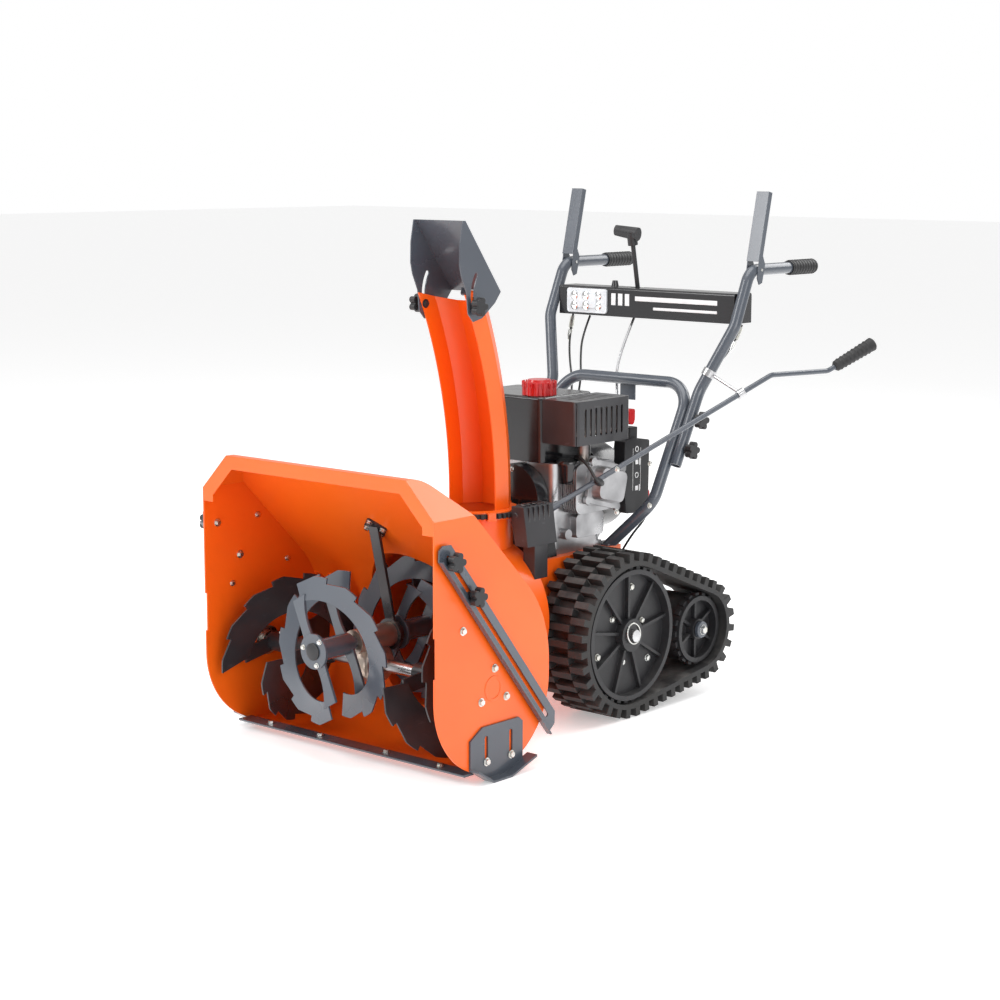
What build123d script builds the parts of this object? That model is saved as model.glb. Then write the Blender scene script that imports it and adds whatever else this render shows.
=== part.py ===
from build123d import *
from math import acos, atan2, cos, degrees, hypot, pi, radians, sin, sqrt
import os

# Tracked petrol snow blower with three clearing stages: cross augers, two accelerators and an
# impeller. Millimetres. +X is the operator's left, -Y is the front, +Z is up. The origin lies on
# the ground, on the centre plane, straight below the auger shaft.

os.makedirs("parts", exist_ok=True)

# ---------------------------------------------------------------- driving dimensions
SHEET = 3.0  # steel sheet of housing and chassis
RUN_FIT = 0.05  # radial clearance of shafts in their bores
GAP = 0.5  # air between parts that pass each other
DEEP = 700.0  # reach of cutting tools

# auger housing
HOUSING_WIDTH = 616.0
HOUSING_TOP = 570.0
CORNER_CHAMFER = 69.0
DRUM_RADIUS = 160.0
AUGER_AXIS_Z = 170.0
CREST_RADIUS = 60.0
KNEE_RADIUS = 220.0
LIP_BAND = 26.0
LIP_START_Y = -45.0  # the drum sheet ends here, where the scraper begins
SCRAPER_DEPTH = 35.0
SCRAPER_THICK = 5.0
PLATE_NOTCH_LOW = 215.0
PLATE_NOTCH_TALL = 75.0
PLATE_NOTCH_DEEP = 4.0

# rotating stages
SHAFT_RADIUS = 12.5
AUGER_RADIUS = 148.0
AUGER_RIBBON_WIDTH = 76.0
AUGER_INNER_X = 150.0
AUGER_OUTER_X = 288.0
AUGER_HUB_RADIUS = 19.0
IMPELLER_AXIS_Z = 220.0
IMPELLER_BORE = 155.0
IMPELLER_RADIUS = 151.0
IMPELLER_FRONT_Y = 238.0
IMPELLER_BACK_Y = 331.0
TUNNEL_BACK_Y = 341.0
ACCELERATOR_RADIUS = 143.0
ACCELERATOR_BAND = 46.0
FRONT_ACCELERATOR_Y = -163.0
REAR_ACCELERATOR_Y = 62.0
ACCELERATOR_LENGTH = 92.0
FLIGHT_THICK = 3.5
SHAFT_INSET = 14.0  # the impeller shaft ends this far inside the front accelerator

# gear case on the auger shaft
WHEEL_RADIUS = 35.4
WORM_RADIUS = 14.0
CASE_WALL = 5.0
CASE_HALF_WIDTH = 19.0
CASE_COLLAR_RADIUS = 24.0
CASE_COLLAR_REACH = 56.0

# chute
CHUTE_Y = 300.0
SPOUT_RADIUS = 73.0
SPOUT_TOP = 437.0
FLANGE_Z = 425.0
RING_LOW = 428.3
RING_TALL = 9.7
RING_ROOT = 86.0
RING_TIP = 92.0
RING_TEETH = 48
CHUTE_HALF_WIDTH = 63.0
CHUTE_DEPTH = 75.0
CHUTE_BEVEL_X = 38.0
CHUTE_BEVEL_Y = 35.0
CHUTE_SHEET = 2.5
CHUTE_BACK_Y = 360.0
CHUTE_CURVE_RADIUS = 1062.0
CHUTE_CURVE_Z = 461.0
CHUTE_CURVE_ANGLE = 26.5
HINGE_Y = 293.0
HINGE_Z = 871.0
CLAMP_Y = 214.0
CLAMP_Z = 852.0
DEFLECTOR_SHEET = 2.5

# chute crank
WORM_COIL_RADIUS = 11.0
WORM_X = RING_TIP + WORM_COIL_RADIUS + GAP
WORM_Z = RING_LOW + RING_TALL / 2
WORM_START_Y = 303.0
WORM_LENGTH = 82.0
ROD_RADIUS = 5.5
UNIVERSAL = (WORM_X, 404.0, WORM_Z)
EYELET = (300.0, 790.0, 652.0)
CRANK_THROW_AT = 566.0  # from the universal joint along the rod
CRANK_THROW_END = (372.0, 1010.0, 688.0)
CRANK_GRIP_LENGTH = 92.0

# chassis, axle and tracks
CHASSIS_HALF_WIDTH = 105.0
CHASSIS_LOW = 60.0
DECK_TOP = 330.0
CHASSIS_BACK_Y = 640.0
CABLE_SHELF_Z = 300.0
AXLE_Y = 517.0
AXLE_Z = 172.0
IDLER_Y = 765.0
IDLER_Z = 142.0
TRACK_INNER_X = 116.0
TRACK_WIDTH = 122.0
BELT_DRIVE_RADIUS = 154.0
BELT_IDLER_RADIUS = 90.0
BELT_THICK = 10.0
LUG_TALL = 18.0
LUG_LONG = 14.0
LUG_COUNT = 42
DRIVE_WHEEL_RADIUS = 142.0
IDLER_WHEEL_RADIUS = 78.0
IDLER_PIN_RADIUS = 10.0

# handles
TUBE_RADIUS = 12.5
TUBE_BORE = 10.5
HOOP_HALF_WIDTH = 175.0
HANDLE_HALF_WIDTH = 253.0
GRIP_Z = 903.0
GRIP_START_Y = 1028.0
GRIP_END_Y = 1126.0
GRIP_RADIUS = 15.5
LEVER_PIVOT_Y = 905.0
LEVER_LENGTH = 165.0
LEVER_LEAN = 13.0  # degrees back from upright
PANEL_HALF_WIDTH = 239.0
PANEL_FRONT_Y = 848.0
PANEL_BACK_Y = 912.0
PANEL_LOW = 790.0
PANEL_TOP = 854.0

# engine
CRANKSHAFT_Z = 446.0
PULLEY_FRONT_Y = 412.0
PULLEY_BACK_Y = 428.0
ENGINE_PULLEY_RADIUS = 55.0
IMPELLER_PULLEY_RADIUS = 95.0
BELT_GROOVE = 8.0
ENGINE_FRONT_Y = 442.0
TANK_TOP = 655.0
CAP_X = 20.0
CAP_Y = 470.0

# wear parts on the side plates
CUTTER_UPPER = (-149.0, 455.0)
CUTTER_ANGLE = 51.0  # degrees below horizontal
CUTTER_LENGTH = 498.0
CUTTER_WIDTH = 42.0
CUTTER_STANDOFF = 5.0
SKID_SLOT_LOW = 36.0
SKID_SLOT_HIGH = 80.0
SKID_SLOT_Y = (-24.0, 45.0)

HALF = HOUSING_WIDTH / 2
FRONT_Y = -DRUM_RADIUS
SIDES = (("left", 1), ("right", -1))


# ---------------------------------------------------------------- shared shapes
def handed(part: Part, sign: int) -> Part:
    """Return the part itself for the left side, its mirror image for the right."""
    return part if sign > 0 else mirror(part, about=Plane.YZ)


def drum_profile(inset: float) -> Sketch:
    """Closed side outline of the auger housing, moved inwards by inset."""
    crest_y = FRONT_Y + 38
    knee_z = HOUSING_TOP - (DRUM_RADIUS - crest_y)
    with BuildSketch(Plane.YZ) as profile:
        with BuildLine():
            crest = FilletPolyline(
                (FRONT_Y, HOUSING_TOP),
                (crest_y, HOUSING_TOP),
                (DRUM_RADIUS, knee_z),
                (DRUM_RADIUS, AUGER_AXIS_Z),
                radius=(CREST_RADIUS, KNEE_RADIUS),
            )
            ThreePointArc(crest @ 1, (0, AUGER_AXIS_Z - DRUM_RADIUS), (FRONT_Y, AUGER_AXIS_Z))
            Line((FRONT_Y, AUGER_AXIS_Z), (FRONT_Y, HOUSING_TOP))
        make_face()
        if inset:
            offset(amount=-inset)
    return profile.sketch


def front_corners(inset: float, top: float) -> list:
    """Corners of the housing seen from the front, moved inwards by inset and cut at top."""
    half = HALF - inset
    diagonal = HALF + HOUSING_TOP - CORNER_CHAMFER - inset * sqrt(2)
    right = [(half, -5), (half, diagonal - half), (diagonal - top, top)]
    return right + [(-x, z) for x, z in reversed(right)]


def front_outline(inset: float, top: float) -> Sketch:
    """The housing seen from the front as a flat face on the XZ plane."""
    with BuildSketch(Plane.XZ) as outline:
        Polygon(*front_corners(inset, top), align=None)
    return outline.sketch


def bar(points: list, radii: list, radius: float, bore: float = 0.0) -> Part:
    """Round bar or tube along straight runs joined by tangent arcs."""
    with BuildPart() as swept:
        with BuildLine() as path:
            if radii:
                FilletPolyline(*points, radius=radii)
            else:
                Line(*points)
        with BuildSketch(Plane(origin=path.line @ 0, z_dir=path.line % 0)):
            Circle(radius)
            if bore:
                Circle(bore, mode=Mode.SUBTRACT)
        sweep(path=path.line)
    return swept.part


def hex_bolt(size: float, head: float, shank: float) -> Part:
    """Hexagon head standing on the XY plane with its washer, shank hanging below."""
    with BuildPart() as bolt:
        Cylinder(size * 1.35, 1.2, align=(Align.CENTER, Align.CENTER, Align.MIN))
        with BuildSketch(Plane.XY.offset(1.2)):
            RegularPolygon(size, 6)
        extrude(amount=head)
        chamfer(bolt.faces().sort_by(Axis.Z)[-1].edges(), head * 0.12)
        if shank:
            with BuildSketch(Plane.XY):
                Circle(size * 0.55)
            extrude(amount=-shank)
    return bolt.part


def star_knob(stud: float) -> Part:
    """Five-lobed clamping knob: a stud from the XY plane up into a hub and a star head."""
    hub_height, head_height, arm_radius, lobe_radius = 9.0, 14.0, 12.5, 6.5
    with BuildPart() as knob:
        Cylinder(4, stud + 2, align=(Align.CENTER, Align.CENTER, Align.MIN))
        with BuildSketch(Plane.XY.offset(stud)):
            Circle(8.5)
        extrude(amount=hub_height)
        with BuildSketch(Plane.XY.offset(stud + hub_height)):
            Circle(arm_radius)
            with PolarLocations(arm_radius, 5):
                Circle(lobe_radius)
        extrude(amount=head_height)
        fillet(knob.faces().sort_by(Axis.Z)[-1].edges(), 1.5)
    return knob.part


def helical_ribbon(outer: float, width: float, length: float, turn: float, teeth: int) -> Part:
    """Ribbon climbing +Z round the Z axis through turn degrees, with a saw-toothed rim."""
    tooth_depth, overlap = 11.0, 4.0
    middle = outer - width / 2
    with BuildPart() as ribbon:
        with BuildLine() as path:
            Helix(length * 360 / turn, length, middle)
        with BuildSketch(Plane(origin=(middle, 0, 0), x_dir=(1, 0, 0), z_dir=(0, 1, 0))):
            Rectangle(width, FLIGHT_THICK)
        sweep(path=path.line, is_frenet=True)
        with BuildSketch(Plane.XY.offset(-DEEP / 2)):
            for tooth in range(teeth):
                root, tip = tooth * turn / teeth, (tooth + 0.72) * turn / teeth
                points = []
                for reach, angle in ((-tooth_depth, root), (overlap, root), (overlap, tip)):
                    radius = outer + reach
                    points.append((radius * cos(radians(angle)), radius * sin(radians(angle))))
                Polygon(*points, align=None)
        extrude(amount=DEEP, mode=Mode.SUBTRACT)
    return ribbon.part


def along_y(y: float, x: float = 0.0, z: float = IMPELLER_AXIS_Z) -> Plane:
    """Plane facing +Y at the given place, its own X towards machine +X."""
    return Plane(origin=(x, y, z), x_dir=(-1, 0, 0), z_dir=(0, 1, 0))


# ---------------------------------------------------------------- auger housing
for side, sign in SIDES:
    with BuildPart() as side_plate:
        extrude(drum_profile(0), amount=HALF)
        extrude(front_outline(0, HOUSING_TOP), amount=DEEP, both=True, mode=Mode.INTERSECT)
        extrude(front_outline(SHEET, HOUSING_TOP), amount=DEEP, both=True, mode=Mode.SUBTRACT)
        with Locations((HALF, FRONT_Y, PLATE_NOTCH_LOW + PLATE_NOTCH_TALL / 2)):
            Box(4 * SHEET, 2 * PLATE_NOTCH_DEEP, PLATE_NOTCH_TALL, mode=Mode.SUBTRACT)
        # pressed ring round the bearing and a long stiffening bead behind the cutter bar
        with BuildSketch(Plane.YZ.offset(HALF - SHEET)):
            with Locations((0, AUGER_AXIS_Z)):
                Circle(24)
                Circle(19, mode=Mode.SUBTRACT)
        extrude(amount=SHEET + 1)
    side_plate.part = handed(side_plate.part, sign)
    side_plate.part.label = f"side_plate_{side}"
    export_step(side_plate.part, f"parts/side_plate_{side}.step")

with BuildPart() as drum_shell:
    extrude(drum_profile(0), amount=DEEP, both=True)
    extrude(drum_profile(SHEET), amount=DEEP, both=True, mode=Mode.SUBTRACT)
    extrude(front_outline(SHEET, HOUSING_TOP), amount=DEEP, both=True, mode=Mode.INTERSECT)
    with BuildSketch(Plane.YZ):
        with Locations((FRONT_Y, 0)):
            Rectangle(SHEET, HOUSING_TOP - SHEET, align=(Align.MIN, Align.MIN))
            Rectangle(LIP_START_Y - FRONT_Y, AUGER_AXIS_Z, align=(Align.MIN, Align.MIN))
    extrude(amount=DEEP, both=True, mode=Mode.SUBTRACT)
    with BuildSketch(Plane.XZ.offset(-FRONT_Y - SHEET)):
        Polygon(*front_corners(SHEET, HOUSING_TOP), align=None)
        band_top = HOUSING_TOP - LIP_BAND
        Polygon(*front_corners(SHEET + LIP_BAND, band_top), align=None, mode=Mode.SUBTRACT)
        Rectangle(DEEP, 2 * (band_top - CORNER_CHAMFER), mode=Mode.SUBTRACT)
    extrude(amount=SHEET)
    with BuildSketch(Plane.XZ):
        with Locations((0, IMPELLER_AXIS_Z)):
            Circle(IMPELLER_BORE)
    extrude(amount=-DEEP, mode=Mode.SUBTRACT)
drum_shell.part.label = "drum_shell"
export_step(drum_shell.part, "parts/drum_shell.step")

lip_z = AUGER_AXIS_Z - sqrt(DRUM_RADIUS**2 - LIP_START_Y**2)
with BuildPart() as scraper_bar:
    with BuildSketch(Plane.YZ):
        with Locations((LIP_START_Y, lip_z - 1)):
            Rectangle(SCRAPER_DEPTH, SCRAPER_THICK, align=(Align.MAX, Align.MIN))
    extrude(amount=HALF - SHEET, both=True)
    chamfer(scraper_bar.edges().filter_by(Axis.X).group_by(Axis.Y)[0].sort_by(Axis.Z)[0], 3)
scraper_bar.part.label = "scraper_bar"
export_step(scraper_bar.part, "parts/scraper_bar.step")

with BuildPart() as impeller_housing:
    with BuildSketch(Plane.XZ.offset(-TUNNEL_BACK_Y)):
        with Locations((0, IMPELLER_AXIS_Z)):
            Circle(IMPELLER_BORE + SHEET)
    extrude(amount=TUNNEL_BACK_Y)
    with BuildSketch(Plane.XY.offset(DECK_TOP)):
        with Locations((0, CHUTE_Y)):
            Circle(SPOUT_RADIUS)
    extrude(amount=SPOUT_TOP - DECK_TOP)
    with BuildSketch(Plane.XY.offset(FLANGE_Z)):
        with Locations((0, CHUTE_Y)):
            Circle(RING_ROOT - 2)
            with PolarLocations(RING_TIP - 4, 3, 90):
                Rectangle(20, 18)
    extrude(amount=SHEET)
    with BuildSketch(Plane.XZ.offset(-TUNNEL_BACK_Y + SHEET)):
        with Locations((0, IMPELLER_AXIS_Z)):
            Circle(IMPELLER_BORE)
    extrude(amount=DEEP, mode=Mode.SUBTRACT)
    with BuildSketch(Plane.XY.offset(DECK_TOP + SHEET)):
        with Locations((0, CHUTE_Y)):
            Circle(SPOUT_RADIUS - SHEET)
    extrude(amount=DEEP, mode=Mode.SUBTRACT)
    extrude(drum_profile(0), amount=DEEP, both=True, mode=Mode.SUBTRACT)
    with BuildSketch(Plane.XZ.offset(-TUNNEL_BACK_Y - SHEET)):
        with Locations((0, IMPELLER_AXIS_Z)):
            Circle(SHAFT_RADIUS + RUN_FIT)
    extrude(amount=2 * SHEET + 1, mode=Mode.SUBTRACT)
    # three keepers hook over the chute ring
    keeper_reach = RING_TIP + GAP
    with BuildSketch(Plane.XY.offset(FLANGE_Z)):
        with Locations((0, CHUTE_Y)):
            with PolarLocations(keeper_reach + 2, 3, 90):
                Rectangle(4, 16)
    extrude(amount=RING_LOW + RING_TALL + GAP + SHEET - FLANGE_Z)
    with BuildSketch(Plane.XY.offset(RING_LOW + RING_TALL + GAP)):
        with Locations((0, CHUTE_Y)):
            with PolarLocations(keeper_reach, 3, 90):
                Rectangle(8, 16)
    extrude(amount=SHEET)
impeller_housing.part.label = "impeller_housing"
export_step(impeller_housing.part, "parts/impeller_housing.step")

# ---------------------------------------------------------------- gear case and strut
with BuildPart() as gear_case:
    with BuildSketch(Plane.YZ):
        with Locations((0, AUGER_AXIS_Z)):
            Circle(WHEEL_RADIUS + GAP + CASE_WALL)
    extrude(amount=CASE_HALF_WIDTH, both=True)
    fillet(gear_case.edges().filter_by(GeomType.CIRCLE), 9)
    with BuildSketch(Plane.YZ):
        with Locations((0, AUGER_AXIS_Z)):
            Circle(CASE_COLLAR_RADIUS)
    extrude(amount=CASE_HALF_WIDTH + 14, both=True)
    with BuildSketch(Plane.XZ):
        with Locations((0, IMPELLER_AXIS_Z)):
            Circle(CASE_COLLAR_RADIUS)
    extrude(amount=CASE_COLLAR_REACH, both=True)
    with BuildSketch(Plane.YZ):
        with Locations((0, AUGER_AXIS_Z)):
            Circle(WHEEL_RADIUS + GAP)
    extrude(amount=CASE_HALF_WIDTH - CASE_WALL, both=True, mode=Mode.SUBTRACT)
    with BuildSketch(Plane.XZ):
        with Locations((0, IMPELLER_AXIS_Z)):
            Circle(WORM_RADIUS + GAP)
    extrude(amount=38, both=True, mode=Mode.SUBTRACT)
    with BuildSketch(Plane.YZ):
        with Locations((0, AUGER_AXIS_Z)):
            Circle(SHAFT_RADIUS + RUN_FIT)
    extrude(amount=DEEP, both=True, mode=Mode.SUBTRACT)
    with BuildSketch(Plane.XZ):
        with Locations((0, IMPELLER_AXIS_Z)):
            Circle(SHAFT_RADIUS + RUN_FIT)
    extrude(amount=DEEP, both=True, mode=Mode.SUBTRACT)
gear_case.part.label = "gear_case"
export_step(gear_case.part, "parts/gear_case.step")

# the strut hangs from the sloping drum wall and ends in a ring round the rear collar
slope = 1 / sqrt(2)
knee_sum = HOUSING_TOP + FRONT_Y + 38 - SHEET * sqrt(2)  # inner wall: Y + Z on the sloping run
strut_top_z = 436.0
strut_seat = Plane(
    origin=(0, knee_sum - strut_top_z, strut_top_z), x_dir=(1, 0, 0), z_dir=(0, -slope, -slope)
)
strut_ring_y = CASE_COLLAR_REACH - 9
with BuildPart() as gear_case_strut:
    with BuildSketch(strut_seat):
        with Locations(Location((0, 0), 45)):
            RectangleRounded(44, 44, 6)
    extrude(amount=4)
    with BuildSketch(Plane.XZ.offset(-strut_ring_y - 5)):
        with Locations((0, IMPELLER_AXIS_Z)):
            Circle(CASE_COLLAR_RADIUS + 7)
    extrude(amount=10)
    with BuildSketch(Plane.YZ):
        Polygon(
            (strut_ring_y - 3, IMPELLER_AXIS_Z + CASE_COLLAR_RADIUS),
            (strut_ring_y + 3, IMPELLER_AXIS_Z + CASE_COLLAR_RADIUS),
            (knee_sum - strut_top_z - 1, strut_top_z - 2),
            (knee_sum - strut_top_z - 9, strut_top_z + 2),
            align=None,
        )
    extrude(amount=12, both=True)
    with BuildSketch(Plane.XZ):
        with Locations((0, IMPELLER_AXIS_Z)):
            Circle(CASE_COLLAR_RADIUS)
    extrude(amount=DEEP, both=True, mode=Mode.SUBTRACT)
gear_case_strut.part.label = "gear_case_strut"
export_step(gear_case_strut.part, "parts/gear_case_strut.step")

# ---------------------------------------------------------------- augers
worm_wheel_teeth = 20
with BuildPart() as auger_shaft:
    with BuildSketch(Plane.YZ):
        with Locations((0, AUGER_AXIS_Z)):
            Circle(SHAFT_RADIUS)
    extrude(amount=HALF - SHEET - 1, both=True)
    with BuildSketch(Plane.YZ):
        with Locations((0, AUGER_AXIS_Z)):
            Circle(WHEEL_RADIUS - 4)
            with PolarLocations(WHEEL_RADIUS - 3, worm_wheel_teeth):
                Trapezoid(5, 5, 75, rotation=-90)
    extrude(amount=CASE_HALF_WIDTH - CASE_WALL - 2, both=True)
    with BuildSketch(Plane.YZ):
        with Locations((0, AUGER_AXIS_Z)):
            Circle(WHEEL_RADIUS + 5)
            Circle(WHEEL_RADIUS, mode=Mode.SUBTRACT)
    extrude(amount=CASE_HALF_WIDTH, both=True, mode=Mode.SUBTRACT)
auger_shaft.part.label = "auger_shaft"
export_step(auger_shaft.part, "parts/auger_shaft.step")

auger_span = AUGER_OUTER_X - AUGER_INNER_X
auger_ribbon = helical_ribbon(AUGER_RADIUS, AUGER_RIBBON_WIDTH, auger_span - 14, 196, 7)
arm_reach = AUGER_RADIUS - AUGER_RIBBON_WIDTH + 12
with BuildPart() as auger_blades:
    with Locations((0, 0, -34)):
        Cylinder(AUGER_HUB_RADIUS, auger_span + 34, align=(Align.CENTER, Align.CENTER, Align.MIN))
    for turn in (0, 180):
        with Locations(Location((0, 0, 7), (0, 0, turn))):
            add(auger_ribbon)
        for height, angle in ((7, turn + 5), (auger_span - 7, turn + 191)):
            with BuildSketch(Plane.XY.offset(height - 2.5)):
                with Locations(Location((0, 0), angle)):
                    Rectangle(arm_reach, 30, align=(Align.MIN, Align.CENTER))
            extrude(amount=5)
    Cylinder(SHAFT_RADIUS, DEEP, mode=Mode.SUBTRACT)
for side, sign in SIDES:
    seat = Plane(origin=(AUGER_INNER_X, 0, AUGER_AXIS_Z), x_dir=(0, -1, 0), z_dir=(1, 0, 0))
    with BuildPart() as auger:
        with Locations(seat):
            add(auger_blades.part)
    auger.part = handed(auger.part, sign)
    auger.part.label = f"auger_{side}"
    export_step(auger.part, f"parts/auger_{side}.step")

# ---------------------------------------------------------------- impeller and accelerators
blade_count = 4
with BuildPart() as impeller:
    with BuildSketch(along_y(FRONT_ACCELERATOR_Y + SHAFT_INSET)):
        Circle(SHAFT_RADIUS)
    extrude(amount=PULLEY_BACK_Y + 6 - FRONT_ACCELERATOR_Y - SHAFT_INSET)
    with BuildSketch(along_y(-36)):
        Circle(WORM_RADIUS)
    extrude(amount=72)
    with BuildSketch(along_y(IMPELLER_FRONT_Y)):
        Circle(26)
    extrude(amount=IMPELLER_BACK_Y - IMPELLER_FRONT_Y)
    with BuildSketch(along_y(IMPELLER_BACK_Y - 5)):
        Circle(IMPELLER_RADIUS - 24)
    extrude(amount=5)
    for blade in range(blade_count):
        with BuildSketch(along_y(IMPELLER_FRONT_Y)):
            with Locations(Location((0, 0), blade * 360 / blade_count + 20)):
                with Locations((20, 0)):
                    Rectangle(IMPELLER_RADIUS - 22, 4, align=(Align.MIN, Align.CENTER))
                with Locations(Location((IMPELLER_RADIUS - 24, -1), 62)):
                    Rectangle(24, 4, align=(Align.MIN, Align.CENTER))
        extrude(amount=IMPELLER_BACK_Y - IMPELLER_FRONT_Y)
    with BuildSketch(along_y(0)):
        Circle(IMPELLER_RADIUS + 30)
        Circle(IMPELLER_RADIUS, mode=Mode.SUBTRACT)
    extrude(amount=IMPELLER_BACK_Y + 10, mode=Mode.SUBTRACT)
    with BuildSketch(along_y(PULLEY_FRONT_Y)):
        Circle(IMPELLER_PULLEY_RADIUS)
    extrude(amount=PULLEY_BACK_Y - PULLEY_FRONT_Y)
    with BuildSketch(along_y(PULLEY_FRONT_Y + 1.5)):
        Circle(IMPELLER_PULLEY_RADIUS + 5)
        Circle(IMPELLER_PULLEY_RADIUS - BELT_GROOVE, mode=Mode.SUBTRACT)
    extrude(amount=PULLEY_BACK_Y - PULLEY_FRONT_Y - 3, mode=Mode.SUBTRACT)
impeller.part.label = "impeller"
export_step(impeller.part, "parts/impeller.step")

accelerator_turn = 205.0
accelerator_ribbon = helical_ribbon(
    ACCELERATOR_RADIUS, ACCELERATOR_BAND, ACCELERATOR_LENGTH - 8, accelerator_turn, 7
)
band_inner = ACCELERATOR_RADIUS - ACCELERATOR_BAND
with BuildPart() as accelerator_wing:
    with Locations((0, 0, 4)):
        add(accelerator_ribbon)
    for height, angle in ((2.2, 7), (ACCELERATOR_LENGTH - 8.2, 193)):
        with BuildSketch(Plane.XY.offset(height)):
            with Locations(Location((0, 0), angle)):
                with BuildLine():
                    Line((0, -17), (band_inner + 6, -22))
                    Line((band_inner + 6, -22), (band_inner + 12, 14))
                    RadiusArc((band_inner + 12, 14), (0, 17), 110)
                    Line((0, 17), (0, -17))
                make_face()
        extrude(amount=5.5)
with BuildPart() as accelerator_blades:
    Cylinder(34, 6, align=(Align.CENTER, Align.CENTER, Align.MIN))
    Cylinder(21, ACCELERATOR_LENGTH, align=(Align.CENTER, Align.CENTER, Align.MIN))
    with PolarLocations(26, 3, 30):
        Box(9, 3, 8, align=(Align.CENTER, Align.CENTER, Align.MIN))
    with PolarLocations(0, 2):
        add(accelerator_wing.part)
    Cylinder(SHAFT_RADIUS, DEEP, mode=Mode.SUBTRACT)
for name, start, phase in (
    ("front_accelerator", FRONT_ACCELERATOR_Y, 250),
    ("rear_accelerator", REAR_ACCELERATOR_Y, 300),
):
    with BuildPart() as accelerator:
        with Locations(along_y(start) * Rot(0, 0, phase)):
            add(accelerator_blades.part)
    accelerator.part.label = name
    export_step(accelerator.part, f"parts/{name}.step")

# ---------------------------------------------------------------- chute and deflector
chute_axis = Plane.XY.offset(RING_LOW)
with BuildPart() as chute_ring:
    with BuildSketch(chute_axis):
        with Locations((0, CHUTE_Y)):
            Circle(RING_ROOT)
            with PolarLocations((RING_ROOT + RING_TIP) / 2 - 0.5, RING_TEETH, 180 / RING_TEETH):
                Rectangle(RING_TIP - RING_ROOT + 1, pi * RING_TIP / RING_TEETH)
            Circle(SPOUT_RADIUS + GAP, mode=Mode.SUBTRACT)
    extrude(amount=RING_TALL)
chute_ring.part.label = "chute_ring"
export_step(chute_ring.part, "parts/chute_ring.step")


def chute_section(inset: float, reach: float) -> list:
    """Corners of the bevelled channel, seen from above, from one open edge to the other."""
    half = CHUTE_HALF_WIDTH - inset
    bevel_x = CHUTE_BEVEL_X - inset * 0.45
    bevel_y = CHUTE_BEVEL_Y + inset * 0.4
    back = -inset
    left = [(-half, -reach), (-half, -bevel_y), (-bevel_x, back)]
    return left + [(-x, y) for x, y in reversed(left)]


base_z = RING_LOW + RING_TALL
curve_axis = Axis((0, CHUTE_BACK_Y - CHUTE_CURVE_RADIUS, CHUTE_CURVE_Z), (1, 0, 0))
with BuildPart() as chute_channel:
    with BuildSketch(Plane((0, CHUTE_BACK_Y, CHUTE_CURVE_Z))) as channel:
        Polygon(*chute_section(0, CHUTE_DEPTH), align=None)
        Polygon(*chute_section(CHUTE_SHEET, CHUTE_DEPTH + 5), align=None, mode=Mode.SUBTRACT)
    revolve(axis=curve_axis, revolution_arc=CHUTE_CURVE_ANGLE)
    extrude(channel.sketch, amount=CHUTE_CURVE_Z - base_z, dir=(0, 0, -1))
    # the top edge falls slightly towards the back
    with BuildSketch(Plane.YZ):
        Polygon((100, 895), (400, 832), (400, 1100), (100, 1100), align=None)
    extrude(amount=DEEP, both=True, mode=Mode.SUBTRACT)
    with BuildSketch(Plane.XY.offset(base_z)):
        with Locations((0, CHUTE_Y)):
            Circle(RING_ROOT - 2)
            bore_half = CHUTE_HALF_WIDTH - CHUTE_SHEET
            bore_back = CHUTE_BACK_Y - CHUTE_Y - CHUTE_SHEET
            Polygon(
                (-bore_half, -22),
                (-bore_half, 24),
                (-CHUTE_BEVEL_X + 1, bore_back),
                (CHUTE_BEVEL_X - 1, bore_back),
                (bore_half, 24),
                (bore_half, -22),
                (CHUTE_BEVEL_X, -56),
                (-CHUTE_BEVEL_X, -56),
                align=None,
                mode=Mode.SUBTRACT,
            )
    extrude(amount=SHEET)
    # hinge knuckle on the back panel
    with BuildSketch(Plane.YZ):
        with BuildLine():
            Polyline((HINGE_Y - 8.5, HINGE_Z - 26), (HINGE_Y - 3, HINGE_Z - 28), (HINGE_Y + 5, HINGE_Z - 2))
            Line((HINGE_Y + 5, HINGE_Z - 2), (HINGE_Y - 5, HINGE_Z))
            Line((HINGE_Y - 5, HINGE_Z), (HINGE_Y - 8.5, HINGE_Z - 26))
        make_face()
        with Locations((HINGE_Y, HINGE_Z)):
            Circle(6)
            Circle(3 + RUN_FIT, mode=Mode.SUBTRACT)
    extrude(amount=14, both=True)
    # clamp bolt holes in the side walls
    with BuildSketch(Plane.YZ):
        with Locations((CLAMP_Y, CLAMP_Z)):
            Circle(4)
    extrude(amount=DEEP, both=True, mode=Mode.SUBTRACT)
chute_channel.part.label = "chute_channel"
export_step(chute_channel.part, "parts/chute_channel.step")

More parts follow.
